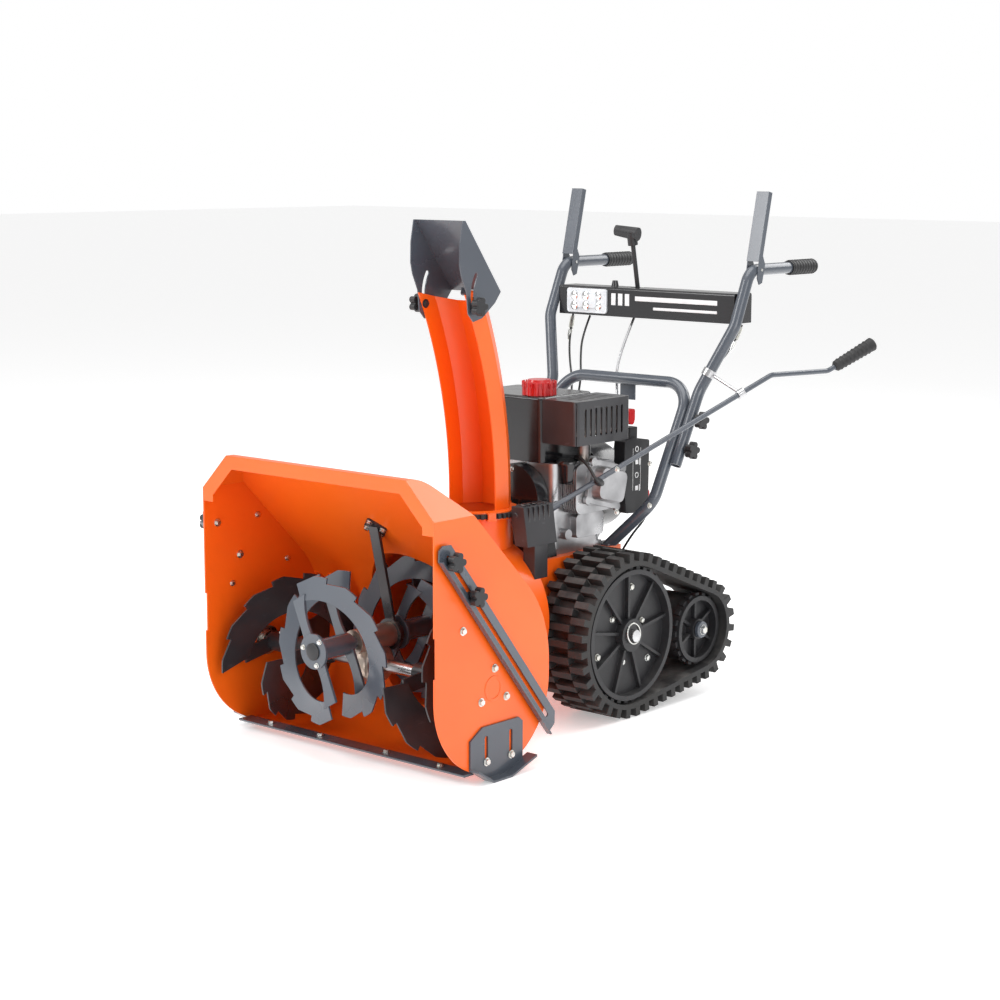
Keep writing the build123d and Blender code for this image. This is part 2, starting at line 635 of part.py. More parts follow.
clamp_radius = hypot(CLAMP_Y - HINGE_Y, CLAMP_Z - HINGE_Z)
clamp_angle = degrees(atan2(CLAMP_Z - HINGE_Z, CLAMP_Y - HINGE_Y)) % 360
deflector_travel = 40.0
plate_inner = CHUTE_HALF_WIDTH + 0.6
slot_start, slot_end = clamp_angle - deflector_travel - 4, clamp_angle + 3
slot_line = CenterArc((HINGE_Y, HINGE_Z), clamp_radius, slot_start, slot_end - slot_start)
knuckle_half = 14.0
with BuildPart() as deflector:
    with BuildSketch(Plane.YZ):
        Polygon(
            (192, 1018),
            (185, 1018),
            (177, 975),
            (176, 934),
            (181, 912),
            (196, 879),
            (200, 838),
            (215, 822),
            (241, 828),
            (279, 856),
            (HINGE_Y + 3, HINGE_Z + 6),
            align=None,
        )
    extrude(amount=plate_inner + DEFLECTOR_SHEET, both=True)
    back_run = Vector(192 - HINGE_Y - 3, 1018 - HINGE_Z - 6).normalized()
    back_inner = Vector(192, 1018) + Vector(-back_run.Y, back_run.X) * DEFLECTOR_SHEET
    low, high = back_inner - back_run * 320, back_inner + back_run * 80
    with BuildSketch(Plane.YZ):
        Polygon(
            (low.X, low.Y), (high.X, high.Y), (40, 1090), (40, 700), align=None
        )
    extrude(amount=plate_inner, both=True, mode=Mode.SUBTRACT)
    # curved slots that ride on the clamp bolts
    with BuildSketch(Plane.YZ):
        SlotArc(slot_line, 9.5)
    extrude(amount=DEEP, both=True, mode=Mode.SUBTRACT)
    # room for the middle knuckle, then the outer knuckles and the pin
    with BuildSketch(Plane.YZ):
        with Locations((HINGE_Y, HINGE_Z)):
            Circle(7)
    extrude(amount=knuckle_half + 1, both=True, mode=Mode.SUBTRACT)
    for x in (-24, 24):
        with BuildSketch(Plane.YZ.offset(x)):
            with Locations((HINGE_Y, HINGE_Z)):
                Circle(6)
            Polygon(
                (HINGE_Y - 3, HINGE_Z + 14),
                (HINGE_Y + 1, HINGE_Z + 10),
                (HINGE_Y + 6, HINGE_Z),
                (HINGE_Y - 4, HINGE_Z + 4),
                align=None,
            )
        extrude(amount=9, both=True)
    with BuildSketch(Plane.YZ):
        with Locations((HINGE_Y, HINGE_Z)):
            Circle(3)
    extrude(amount=34, both=True)
deflector.part.label = "deflector"
export_step(deflector.part, "parts/deflector.step")

knob_stud = 4.0
with BuildPart() as deflector_knobs:
    knob_seats = []
    for sign in (1, -1):
        origin = (sign * (CHUTE_HALF_WIDTH + 0.2), CLAMP_Y, CLAMP_Z)
        knob_seats.append(Plane(origin=origin, x_dir=(0, 1, 0), z_dir=(sign, 0, 0)))
    with Locations(*knob_seats):
        add(star_knob(knob_stud))
        Cylinder(3.9, CHUTE_SHEET + 1.5, align=(Align.CENTER, Align.CENTER, Align.MAX))
    inner_seats = []
    for sign in (1, -1):
        origin = (sign * (CHUTE_HALF_WIDTH - CHUTE_SHEET), CLAMP_Y, CLAMP_Z)
        inner_seats.append(Plane(origin=origin, x_dir=(0, 1, 0), z_dir=(-sign, 0, 0)))
    with Locations(*inner_seats):
        add(hex_bolt(6.5, 4, 0))
deflector_knobs.part.label = "deflector_knobs"
export_step(deflector_knobs.part, "parts/deflector_knobs.step")

# ---------------------------------------------------------------- chute worm, bracket and crank
worm_shaft_radius = 5.0
coil_turns = 7
with BuildPart() as chute_worm:
    with BuildSketch(along_y(WORM_START_Y - 6, WORM_X, WORM_Z)):
        Circle(worm_shaft_radius)
    extrude(amount=WORM_LENGTH + 12)
    coil_pitch = WORM_LENGTH / coil_turns
    for turn in range(coil_turns):
        with BuildSketch(along_y(WORM_START_Y + (turn + 0.25) * coil_pitch, WORM_X, WORM_Z)):
            Circle(WORM_COIL_RADIUS)
        extrude(amount=coil_pitch / 2)
chute_worm.part.label = "chute_worm"
export_step(chute_worm.part, "parts/chute_worm.step")

bracket_inner_x = RING_TIP + 2
bracket_outer_x = 137.0
bracket_back_y = WORM_START_Y + WORM_LENGTH + 4
bracket_low_z = 372.0
with BuildPart() as worm_bracket:
    for y in (WORM_START_Y - 5, bracket_back_y - 3):
        with BuildSketch(along_y(y, 0, 0)):
            Polygon(
                (-bracket_inner_x, WORM_Z - 16),
                (-bracket_inner_x - 10, bracket_low_z),
                (-bracket_outer_x, bracket_low_z),
                (-bracket_outer_x + 12, WORM_Z + 18),
                (-bracket_inner_x, WORM_Z + 18),
                align=None,
            )
            with Locations((-WORM_X, WORM_Z)):
                Circle(worm_shaft_radius + RUN_FIT, mode=Mode.SUBTRACT)
        extrude(amount=3)
    with BuildSketch(along_y(WORM_START_Y - 5, 0, 0)):
        Polygon(
            (-bracket_outer_x, bracket_low_z),
            (-bracket_outer_x + 12, WORM_Z + 18),
            (-bracket_inner_x, WORM_Z + 18),
            (-bracket_inner_x, WORM_Z + 15.5),
            (-bracket_outer_x + 14.5, WORM_Z + 15.5),
            (-bracket_outer_x + 2.5, bracket_low_z),
            align=None,
        )
    extrude(amount=bracket_back_y - WORM_START_Y + 5)
    with BuildSketch(along_y(WORM_START_Y + 20, 0, 0)):
        Polygon(
            (-bracket_inner_x - 10, bracket_low_z + 12),
            (-bracket_outer_x + 3, bracket_low_z + 12),
            (-bracket_outer_x + 3, IMPELLER_AXIS_Z + 60),
            (-bracket_inner_x - 10, IMPELLER_AXIS_Z + 60),
            align=None,
        )
    extrude(amount=40)
    with BuildSketch(along_y(0)):
        Circle(IMPELLER_BORE + SHEET)
    extrude(amount=DEEP, mode=Mode.SUBTRACT)
    for turn in range(5):
        with BuildSketch(along_y(WORM_START_Y + 8 + turn * 16, 0, 0)):
            with Locations((-WORM_X - 2, WORM_Z + 18)):
                Rectangle(22, 4)
        extrude(amount=7)
worm_bracket.part.label = "worm_bracket"
export_step(worm_bracket.part, "parts/worm_bracket.step")

rod_start, eyelet_at = Vector(*UNIVERSAL), Vector(*EYELET)
rod_way = (eyelet_at - rod_start).normalized()
throw_end = Vector(*CRANK_THROW_END)
grip_start = throw_end + rod_way * 24
grip_end = grip_start + rod_way * CRANK_GRIP_LENGTH
rod_points = [rod_start + rod_way * 9, rod_start + rod_way * CRANK_THROW_AT, throw_end]
rod_points.append(grip_end - rod_way * 6)
with BuildPart() as crank_rod:
    add(bar(rod_points, [26, 26], ROD_RADIUS))
    with BuildSketch(Plane(origin=rod_start + rod_way * 6, z_dir=rod_way)):
        Circle(8)
    extrude(amount=16)
    with BuildSketch(Plane(origin=grip_start, z_dir=rod_way)):
        Circle(11)
    extrude(amount=CRANK_GRIP_LENGTH, taper=-1.5)
    fillet(crank_rod.edges().filter_by(GeomType.CIRCLE).sort_by(Axis.Y)[-1], 5)
crank_rod.part.label = "crank_rod"
export_step(crank_rod.part, "parts/crank_rod.step")

# the eyelet: a bush round the rod, a wire to the left handle tube, a band round the tube
tube_low = Vector(HOOP_HALF_WIDTH + 2 * TUBE_RADIUS + 0.5, 700, 500)
tube_knee = Vector(HOOP_HALF_WIDTH + 2 * TUBE_RADIUS + 0.5, 780, 650)
tube_shoulder = Vector(HANDLE_HALF_WIDTH, 832, 787)
tube_way = (tube_shoulder - tube_knee).normalized()
band_at = tube_knee + tube_way * 44
with BuildPart() as crank_eyelet:
    with BuildSketch(Plane(origin=eyelet_at - rod_way * 8, z_dir=rod_way)):
        Circle(ROD_RADIUS + 4)
    extrude(amount=16)
    add(bar([band_at, eyelet_at], [], 3.2))
    with BuildSketch(Plane(origin=band_at - tube_way * 8, z_dir=tube_way)):
        Circle(TUBE_RADIUS + 2.5)
    extrude(amount=16)
    with BuildSketch(Plane(origin=band_at - tube_way * 20, z_dir=tube_way)):
        Circle(TUBE_RADIUS)
    extrude(amount=40, mode=Mode.SUBTRACT)
    with BuildSketch(Plane(origin=eyelet_at - rod_way * 20, z_dir=rod_way)):
        Circle(ROD_RADIUS + RUN_FIT)
    extrude(amount=40, mode=Mode.SUBTRACT)
crank_eyelet.part.label = "crank_eyelet"
export_step(crank_eyelet.part, "parts/crank_eyelet.step")

# ---------------------------------------------------------------- chassis and tracks
arm_x = CHASSIS_HALF_WIDTH + 5
with BuildPart() as chassis_frame:
    with BuildSketch(Plane.YZ.offset(CHASSIS_HALF_WIDTH - SHEET)):
        chassis_size = (CHASSIS_BACK_Y - TUNNEL_BACK_Y, DECK_TOP - CHASSIS_LOW)
        with Locations((TUNNEL_BACK_Y, CHASSIS_LOW)):
            Rectangle(*chassis_size, align=(Align.MIN, Align.MIN))
    extrude(amount=SHEET)
    with BuildSketch(Plane.YZ.offset(CHASSIS_HALF_WIDTH)):
        with BuildLine():
            Polyline((AXLE_Y + 44, 235), (AXLE_Y + 44, 95), (IDLER_Y, IDLER_Z - 26))
            ThreePointArc((IDLER_Y, IDLER_Z - 26), (IDLER_Y + 26, IDLER_Z), (IDLER_Y, IDLER_Z + 26))
            Line((IDLER_Y, IDLER_Z + 26), (AXLE_Y + 44, 235))
        make_face()
        with Locations((AXLE_Y, AXLE_Z)):
            Circle(30)
    extrude(amount=5)
    with BuildSketch(Plane.YZ.offset(CHASSIS_HALF_WIDTH)):
        with Locations((IDLER_Y, IDLER_Z)):
            Circle(IDLER_PIN_RADIUS)
    extrude(amount=TRACK_INNER_X + TRACK_WIDTH - 6 - CHASSIS_HALF_WIDTH)
    with BuildSketch(Plane.YZ.offset(TRACK_INNER_X + TRACK_WIDTH - 14)):
        with Locations((IDLER_Y, IDLER_Z)):
            Circle(IDLER_PIN_RADIUS + 6)
    extrude(amount=6)
    with BuildSketch(Plane.YZ.offset(CHASSIS_HALF_WIDTH - SHEET - 1)):
        with Locations((AXLE_Y, AXLE_Z)):
            Circle(SHAFT_RADIUS + RUN_FIT)
    extrude(amount=20, mode=Mode.SUBTRACT)
    mirror(about=Plane.YZ)
    with BuildSketch(Plane.XY.offset(DECK_TOP - SHEET)):
        with Locations((0, TUNNEL_BACK_Y)):
            inner_width = 2 * (CHASSIS_HALF_WIDTH - SHEET)
            Rectangle(inner_width, chassis_size[0], align=(Align.CENTER, Align.MIN))
        with Locations((0, (PULLEY_FRONT_Y + PULLEY_BACK_Y) / 2)):
            Rectangle(172, 28, mode=Mode.SUBTRACT)
    extrude(amount=SHEET)
    with BuildSketch(Plane.XY.offset(CHASSIS_LOW)):
        with Locations((0, TUNNEL_BACK_Y)):
            Rectangle(inner_width, chassis_size[0], align=(Align.CENTER, Align.MIN))
    extrude(amount=SHEET)
    with BuildSketch(Plane.XZ.offset(-CHASSIS_BACK_Y)):
        with Locations((0, CHASSIS_LOW + SHEET)):
            wall_tall = DECK_TOP - CHASSIS_LOW - 2 * SHEET
            Rectangle(inner_width, wall_tall, align=(Align.CENTER, Align.MIN))
    extrude(amount=SHEET)
    # shelf behind the rear wall where the control cables end
    with BuildSketch(Plane.XY.offset(CABLE_SHELF_Z - SHEET)):
        with Locations((0, CHASSIS_BACK_Y - 1)):
            Rectangle(inner_width, 22, align=(Align.CENTER, Align.MIN))
    extrude(amount=SHEET)
chassis_frame.part.label = "chassis_frame"
export_step(chassis_frame.part, "parts/chassis_frame.step")

wheel_outer_x = TRACK_INNER_X + TRACK_WIDTH - 2
with BuildPart() as drive_axle:
    with BuildSketch(Plane.YZ):
        with Locations((AXLE_Y, AXLE_Z)):
            Circle(SHAFT_RADIUS)
    extrude(amount=wheel_outer_x + 8, both=True)
    with BuildSketch(Plane.YZ.offset(-40)):
        with Locations((AXLE_Y, AXLE_Z)):
            Circle(58)
            with PolarLocations(60, 32):
                Rectangle(8, 5)
    extrude(amount=12)
drive_axle.part.label = "drive_axle"
export_step(drive_axle.part, "parts/drive_axle.step")


def track_wheel(radius: float, width: float, bore: float, hub: float, spokes: int) -> Part:
    """Wheel along +Z from the XY plane: hub, rim, toothed edge and a web stiffened by ribs."""
    rim_outer, rim_inner = radius - 6, radius - 16
    tooth_count = int(radius * 2 * pi / 24)
    with BuildPart() as wheel:
        with BuildSketch(Plane.XY):
            Circle(rim_outer)
            Circle(rim_inner, mode=Mode.SUBTRACT)
            Circle(hub)
        extrude(amount=width)
        with BuildSketch(Plane.XY.offset(width - 26)):
            Circle(rim_inner + 1)
        extrude(amount=6)
        with BuildSketch(Plane.XY.offset(width - 18)):
            Circle(rim_outer)
            with PolarLocations(radius - 5, tooth_count):
                Rectangle(10, 12)
            Circle(rim_inner, mode=Mode.SUBTRACT)
        extrude(amount=12)
        with BuildSketch(Plane.XY.offset(width - 21)):
            for spoke in range(spokes):
                with Locations(Location((0, 0), spoke * 360 / spokes)):
                    Rectangle(rim_inner + 1, 6, align=(Align.MIN, Align.CENTER))
        extrude(amount=11)
        Cylinder(bore, DEEP, mode=Mode.SUBTRACT)
    return wheel.part


wheel_width = TRACK_WIDTH - 6
drive_wheel_shape = track_wheel(DRIVE_WHEEL_RADIUS, wheel_width, SHAFT_RADIUS, 34, 9)
idler_bore = IDLER_PIN_RADIUS + RUN_FIT
idler_wheel_shape = track_wheel(IDLER_WHEEL_RADIUS, wheel_width - 12, idler_bore, 22, 6)
for side, sign in SIDES:
    for name, shape, y, z in (
        ("drive_wheel", drive_wheel_shape, AXLE_Y, AXLE_Z),
        ("idler_wheel", idler_wheel_shape, IDLER_Y, IDLER_Z),
    ):
        with BuildPart() as wheel:
            with Locations(Plane(origin=(TRACK_INNER_X + 2, y, z), z_dir=(1, 0, 0))):
                add(shape)
        wheel.part = handed(wheel.part, sign)
        wheel.part.label = f"{name}_{side}"
        export_step(wheel.part, f"parts/{name}_{side}.step")


def track_frames(radius_drive: float, radius_idler: float, count: int, phase: float) -> list:
    """Evenly spaced places round the track at the given radii: (y, z, outward angle)."""
    gap_y, gap_z = IDLER_Y - AXLE_Y, IDLER_Z - AXLE_Z
    heading = atan2(gap_z, gap_y)
    spread = acos((radius_drive - radius_idler) / hypot(gap_y, gap_z))
    run = sqrt(hypot(gap_y, gap_z) ** 2 - (radius_drive - radius_idler) ** 2)
    low, high = heading - spread, heading + spread
    drive_wrap = radius_drive * (2 * pi - 2 * spread)
    idler_wrap = radius_idler * 2 * spread
    total = drive_wrap + idler_wrap + 2 * run
    lead = radius_drive * (low + pi / 2)  # from the lowest point to the lower straight run
    places = []
    for index in range(count):
        s = (index + phase) * total / count
        if s < lead:
            angle = -pi / 2 + s / radius_drive
            centre, radius, along = (AXLE_Y, AXLE_Z), radius_drive, 0.0
        elif s < lead + run:
            angle, centre, radius, along = low, (AXLE_Y, AXLE_Z), radius_drive, s - lead
        elif s < lead + run + idler_wrap:
            angle = low + (s - lead - run) / radius_idler
            centre, radius, along = (IDLER_Y, IDLER_Z), radius_idler, 0.0
        elif s < lead + 2 * run + idler_wrap:
            angle, centre, radius = high, (IDLER_Y, IDLER_Z), radius_idler
            along = s - lead - run - idler_wrap
        else:
            angle = high + (s - lead - 2 * run - idler_wrap) / radius_drive
            centre, radius, along = (AXLE_Y, AXLE_Z), radius_drive, 0.0
        y = centre[0] + radius * cos(angle) - along * sin(angle)
        z = centre[1] + radius * sin(angle) + along * cos(angle)
        places.append((y, z, degrees(angle)))
    return places


def lug_row(phase: float) -> Sketch:
    """Side view of one row of tread lugs."""
    embed = 2.0
    with BuildSketch(Plane.YZ) as row:
        for y, z, angle in track_frames(BELT_DRIVE_RADIUS, BELT_IDLER_RADIUS, LUG_COUNT, phase):
            with Locations(Location((y, z), angle)):
                with Locations((LUG_TALL / 2 - embed / 2, 0)):
                    Rectangle(LUG_TALL + embed, LUG_LONG)
    return row.sketch


with BuildPart() as track_belt:
    with BuildSketch(Plane.YZ.offset(TRACK_INNER_X)):
        for thick, way in ((0, Mode.ADD), (BELT_THICK, Mode.SUBTRACT)):
            with BuildSketch(mode=Mode.PRIVATE) as loop:
                with Locations((AXLE_Y, AXLE_Z)):
                    Circle(BELT_DRIVE_RADIUS - thick)
                with Locations((IDLER_Y, IDLER_Z)):
                    Circle(BELT_IDLER_RADIUS - thick)
                make_hull()
            add(loop.sketch, mode=way)
    extrude(amount=TRACK_WIDTH)
    middle_x, middle_width = TRACK_INNER_X + TRACK_WIDTH * 0.29, TRACK_WIDTH * 0.42
    extrude(lug_row(0).moved(Location((middle_x, 0, 0))), amount=middle_width, dir=(1, 0, 0))
    for start, width in (
        (TRACK_INNER_X, middle_x - TRACK_INNER_X),
        (middle_x + middle_width, TRACK_WIDTH * 0.29),
    ):
        extrude(lug_row(0.5).moved(Location((start, 0, 0))), amount=width, dir=(1, 0, 0))
for side, sign in SIDES:
    belt = handed(track_belt.part, sign)
    belt.label = f"track_belt_{side}"
    export_step(belt, f"parts/track_belt_{side}.step")

# ---------------------------------------------------------------- belt drive
with BuildPart() as engine_pulley:
    with BuildSketch(along_y(PULLEY_FRONT_Y - 1, 0, CRANKSHAFT_Z)):
        Circle(SHAFT_RADIUS)
    extrude(amount=150)
    with BuildSketch(along_y(PULLEY_FRONT_Y, 0, CRANKSHAFT_Z)):
        Circle(ENGINE_PULLEY_RADIUS)
    extrude(amount=PULLEY_BACK_Y - PULLEY_FRONT_Y)
    with BuildSketch(along_y(PULLEY_FRONT_Y + 1.5, 0, CRANKSHAFT_Z)):
        Circle(ENGINE_PULLEY_RADIUS + 5)
        Circle(ENGINE_PULLEY_RADIUS - BELT_GROOVE, mode=Mode.SUBTRACT)
    extrude(amount=PULLEY_BACK_Y - PULLEY_FRONT_Y - 3, mode=Mode.SUBTRACT)
engine_pulley.part.label = "engine_pulley"
export_step(engine_pulley.part, "parts/engine_pulley.step")

with BuildPart() as drive_belt:
    with BuildSketch(along_y(PULLEY_FRONT_Y + 1.5 + GAP, 0, 0)):
        for thick, way in ((BELT_GROOVE + 1, Mode.ADD), (GAP, Mode.SUBTRACT)):
            with BuildSketch(mode=Mode.PRIVATE) as loop:
                with Locations((0, CRANKSHAFT_Z)):
                    Circle(ENGINE_PULLEY_RADIUS - BELT_GROOVE + thick)
                with Locations((0, IMPELLER_AXIS_Z)):
                    Circle(IMPELLER_PULLEY_RADIUS - BELT_GROOVE + thick)
                make_hull()
            add(loop.sketch, mode=way)
    extrude(amount=PULLEY_BACK_Y - PULLEY_FRONT_Y - 3 - 2 * GAP)
drive_belt.part.label = "drive_belt"
export_step(drive_belt.part, "parts/drive_belt.step")

cover_front_y, cover_wall, cover_half, cover_foot = 407.5, 2.0, 70.0, 94.0
with BuildPart() as belt_cover:
    with BuildSketch(Plane.XZ.offset(-cover_front_y)):
        with BuildLine():
            Polyline((-cover_half, CRANKSHAFT_Z), (-cover_foot, DECK_TOP), (cover_foot, DECK_TOP))
            Line((cover_foot, DECK_TOP), (cover_half, CRANKSHAFT_Z))
            ThreePointArc(
                (cover_half, CRANKSHAFT_Z), (0, CRANKSHAFT_Z + cover_half), (-cover_half, CRANKSHAFT_Z)
            )
        make_face()
    extrude(amount=-(ENGINE_FRONT_Y - 1 - cover_front_y))
    with BuildSketch(Plane.XZ.offset(-cover_front_y - cover_wall)):
        with BuildLine():
            half, foot = cover_half - cover_wall, cover_foot - cover_wall
            Polyline((-half, CRANKSHAFT_Z), (-foot, DECK_TOP - 1), (foot, DECK_TOP - 1))
            Line((foot, DECK_TOP - 1), (half, CRANKSHAFT_Z))
            ThreePointArc((half, CRANKSHAFT_Z), (0, CRANKSHAFT_Z + half), (-half, CRANKSHAFT_Z))
        make_face()
    extrude(amount=-(ENGINE_FRONT_Y - 1 - 2 * cover_wall - cover_front_y), mode=Mode.SUBTRACT)
    with BuildSketch(along_y(cover_front_y + 10, 0, CRANKSHAFT_Z)):
        Circle(SHAFT_RADIUS + GAP)
    extrude(amount=60, mode=Mode.SUBTRACT)
belt_cover.part.label = "belt_cover"
export_step(belt_cover.part, "parts/belt_cover.step")

# ---------------------------------------------------------------- engine
case_left_x, case_right_x = 85.0, -95.0
case_back_y, case_top_z = 598.0, 519.0
with BuildPart() as crankcase:
    with BuildSketch(Plane.XY.offset(DECK_TOP + 12)):
        with Locations(((case_left_x + case_right_x) / 2, (ENGINE_FRONT_Y + case_back_y) / 2)):
            Rectangle(case_left_x - case_right_x, case_back_y - ENGINE_FRONT_Y)
    extrude(amount=case_top_z - DECK_TOP - 12)
    fillet(crankcase.edges().filter_by(Axis.Z), 16)
    with BuildSketch(Plane.XY.offset(DECK_TOP)):
        for x in (case_right_x + 22, case_left_x - 22):
            with Locations((x, (ENGINE_FRONT_Y + case_back_y) / 2)):
                Rectangle(44, case_back_y - ENGINE_FRONT_Y)
    extrude(amount=13)
    with BuildSketch(along_y(ENGINE_FRONT_Y - 4, 0, CRANKSHAFT_Z)):
        Circle(SHAFT_RADIUS + RUN_FIT)
    extrude(amount=126, mode=Mode.SUBTRACT)
    with BuildSketch(Plane.YZ.offset(case_left_x)):
        with Locations((540, 385)):
            RectangleRounded(90, 50, 10)
        with Locations((470, 372)):
            Circle(11)
    extrude(amount=16)
crankcase.part.label = "crankcase"
export_step(crankcase.part, "parts/crankcase.step")

cylinder_y, cylinder_z, head_x = 548.0, 466.0, 122.0
fin_count, fin_pitch, fin_thick = 7, 5.2, 2.2
with BuildPart() as cylinder:
    with BuildSketch(Plane.YZ.offset(case_left_x)):
        with Locations((cylinder_y, cylinder_z)):
            RectangleRounded(96, 74, 14)
    extrude(amount=head_x - case_left_x)
    for fin in range(fin_count):
        with BuildSketch(Plane.YZ.offset(case_left_x + 2 + fin * fin_pitch)):
            with Locations((cylinder_y - 14, cylinder_z)):
                RectangleRounded(130, 104, 18)
        extrude(amount=fin_thick)
    # intake body, choke and float bowl under the tank, behind the fins
    with BuildSketch(Plane.XZ.offset(-cylinder_y - 40)):
        with Locations((case_left_x + 21, cylinder_z)):
            Circle(11)
    extrude(amount=-34)
cylinder.part.label = "cylinder"
export_step(cylinder.part, "parts/cylinder.step")

with BuildPart() as rocker_cover:
    with BuildSketch(Plane.YZ.offset(head_x)):
        with Locations(Location((cylinder_y + 8, cylinder_z + 4), -14)):
            RectangleRounded(112, 92, 20)
            with GridLocations(100, 80, 2, 2):
                Circle(9)
    extrude(amount=8)
    with BuildSketch(Plane.YZ.offset(head_x + 8)):
        with Locations(Location((cylinder_y + 8, cylinder_z + 4), -14)):
            RectangleRounded(92, 72, 18)
    extrude(amount=20, taper=12)
rocker_cover.part.label = "rocker_cover"
export_step(rocker_cover.part, "parts/rocker_cover.step")

tank_left_x, tank_right_x = 60.0, -150.0
tank_front_y, tank_back_y, tank_low_z = 432.0, 600.0, 520.0
with BuildPart() as fuel_tank:
    with BuildSketch(Plane.XY.offset(tank_low_z)):
        with Locations(((tank_left_x + tank_right_x) / 2, (tank_front_y + tank_back_y) / 2)):
            RectangleRounded(tank_left_x - tank_right_x, tank_back_y - tank_front_y, 14)
    extrude(amount=TANK_TOP - tank_low_z)
    fillet(fuel_tank.faces().sort_by(Axis.Z)[-1].edges(), 7)
    with BuildSketch(Plane.XY.offset(tank_low_z + 22)):
        with Locations(((tank_left_x + tank_right_x) / 2, (tank_front_y + tank_back_y) / 2)):
            inner = (tank_left_x - tank_right_x - 6, tank_back_y - tank_front_y - 6)
            RectangleRounded(*inner, 11)
    extrude(amount=TANK_TOP - tank_low_z - 28, mode=Mode.SUBTRACT)
    with BuildSketch(Plane.XY.offset(TANK_TOP - 8)):
        with Locations((CAP_X, CAP_Y)):
            Circle(27)
            Circle(23, mode=Mode.SUBTRACT)
    extrude(amount=20)
    with BuildSketch(Plane.XY.offset(TANK_TOP - 8)):
        with Locations((CAP_X, CAP_Y)):
            Circle(23)
    extrude(amount=20, mode=Mode.SUBTRACT)
fuel_tank.part.label = "fuel_tank"
export_step(fuel_tank.part, "parts/fuel_tank.step")

with BuildPart() as fuel_cap:
    with BuildSketch(Plane.XY.offset(TANK_TOP + 0.5)):
        with Locations((CAP_X, CAP_Y)):
            Circle(32)
            with PolarLocations(31, 12):
                Circle(5)
    extrude(amount=26)
    with BuildSketch(Plane.XY.offset(TANK_TOP + 26.5)):
        with Locations((CAP_X, CAP_Y)):
            Circle(26)
    extrude(amount=6, taper=20)
    with BuildSketch(Plane.XY.offset(TANK_TOP)):
        with Locations((CAP_X, CAP_Y)):
            Circle(27 + GAP)
    extrude(amount=13, mode=Mode.SUBTRACT)
fuel_cap.part.label = "fuel_cap"
export_step(fuel_cap.part, "parts/fuel_cap.step")

guard_left_x, guard_low_z, guard_top_z = 151.0, 562.0, 652.0
guard_back_y, guard_wall = 608.0, 2.5
with BuildPart() as muffler_guard:
    with BuildSketch(Plane.XY.offset(guard_low_z)):
        with Locations((tank_left_x + GAP, tank_front_y)):
            guard_size = (guard_left_x - tank_left_x - GAP, guard_back_y - tank_front_y)
            Rectangle(*guard_size, align=(Align.MIN, Align.MIN))
    extrude(amount=guard_top_z - guard_low_z)
    fillet(muffler_guard.edges().filter_by(Axis.Z).sort_by(Axis.X)[-2:], 10)
    with BuildSketch(Plane.XY.offset(guard_low_z - 1)):
        with Locations((tank_left_x + GAP + guard_wall, tank_front_y + guard_wall)):
            Rectangle(
                guard_size[0] - 2 * guard_wall,
                guard_size[1] - 2 * guard_wall,
                align=(Align.MIN, Align.MIN),
            )
    extrude(amount=guard_top_z - guard_low_z + 1 - guard_wall, mode=Mode.SUBTRACT)
    with BuildSketch(Plane.YZ.offset(guard_left_x - 6)):
        with Locations(((tank_front_y + guard_back_y) / 2, (guard_low_z + guard_top_z) / 2)):
            with GridLocations(17, 1, 8, 1):
                SlotOverall(58, 6, rotation=90)
    extrude(amount=20, mode=Mode.SUBTRACT)
    with BuildSketch(Plane.XY.offset(guard_top_z - 4)):
        with Locations(((tank_left_x + guard_left_x) / 2, (tank_front_y + guard_back_y) / 2)):
            with GridLocations(1, 20, 1, 6):
                SlotOverall(56, 6)
    extrude(amount=20, mode=Mode.SUBTRACT)
muffler_guard.part.label = "muffler_guard"
export_step(muffler_guard.part, "parts/muffler_guard.step")

muffler_x, muffler_z = 106.0, 606.0
with BuildPart() as muffler:
    with BuildSketch(Plane.XZ.offset(-tank_front_y - 14)):
        with Locations((muffler_x, muffler_z)):
            RectangleRounded(66, 60, 22)
    extrude(amount=-140)
    fillet(muffler.edges().group_by(Axis.Y)[0], 6)
    with BuildSketch(Plane.XY.offset(cylinder_z + 52)):
        with Locations((case_left_x + 14, cylinder_y - 30)):
            Circle(11)
    extrude(amount=muffler_z - cylinder_z - 60)
muffler.part.label = "muffler"
export_step(muffler.part, "parts/muffler.step")

recoil_radius, recoil_front_y, recoil_back_y = 94.0, 602.0, 690.0
with BuildPart() as recoil_housing:
    with BuildSketch(along_y(recoil_front_y, 0, CRANKSHAFT_Z)):
        Circle(recoil_radius)
    extrude(amount=recoil_back_y - recoil_front_y)
    fillet(recoil_housing.faces().sort_by(Axis.Y)[-1].edges(), 14)
    with BuildSketch(along_y(case_back_y, 0, CRANKSHAFT_Z)):
        Rectangle(120, 110)
    extrude(amount=recoil_front_y - case_back_y)
    with BuildSketch(along_y(recoil_front_y + 6, 0, CRANKSHAFT_Z)):
        Circle(recoil_radius - 4)
    extrude(amount=recoil_back_y - recoil_front_y - 12, mode=Mode.SUBTRACT)
    with BuildSketch(along_y(recoil_back_y - 10, 0, CRANKSHAFT_Z)):
        with PolarLocations(48, 10):
            SlotOverall(38, 7, mode=Mode.ADD)
    extrude(amount=20, mode=Mode.SUBTRACT)
    with BuildSketch(along_y(recoil_back_y - 10, -52, CRANKSHAFT_Z + 60)):
        Circle(13)
    extrude(amount=17)
recoil_housing.part.label = "recoil_housing"
export_step(recoil_housing.part, "parts/recoil_housing.step")

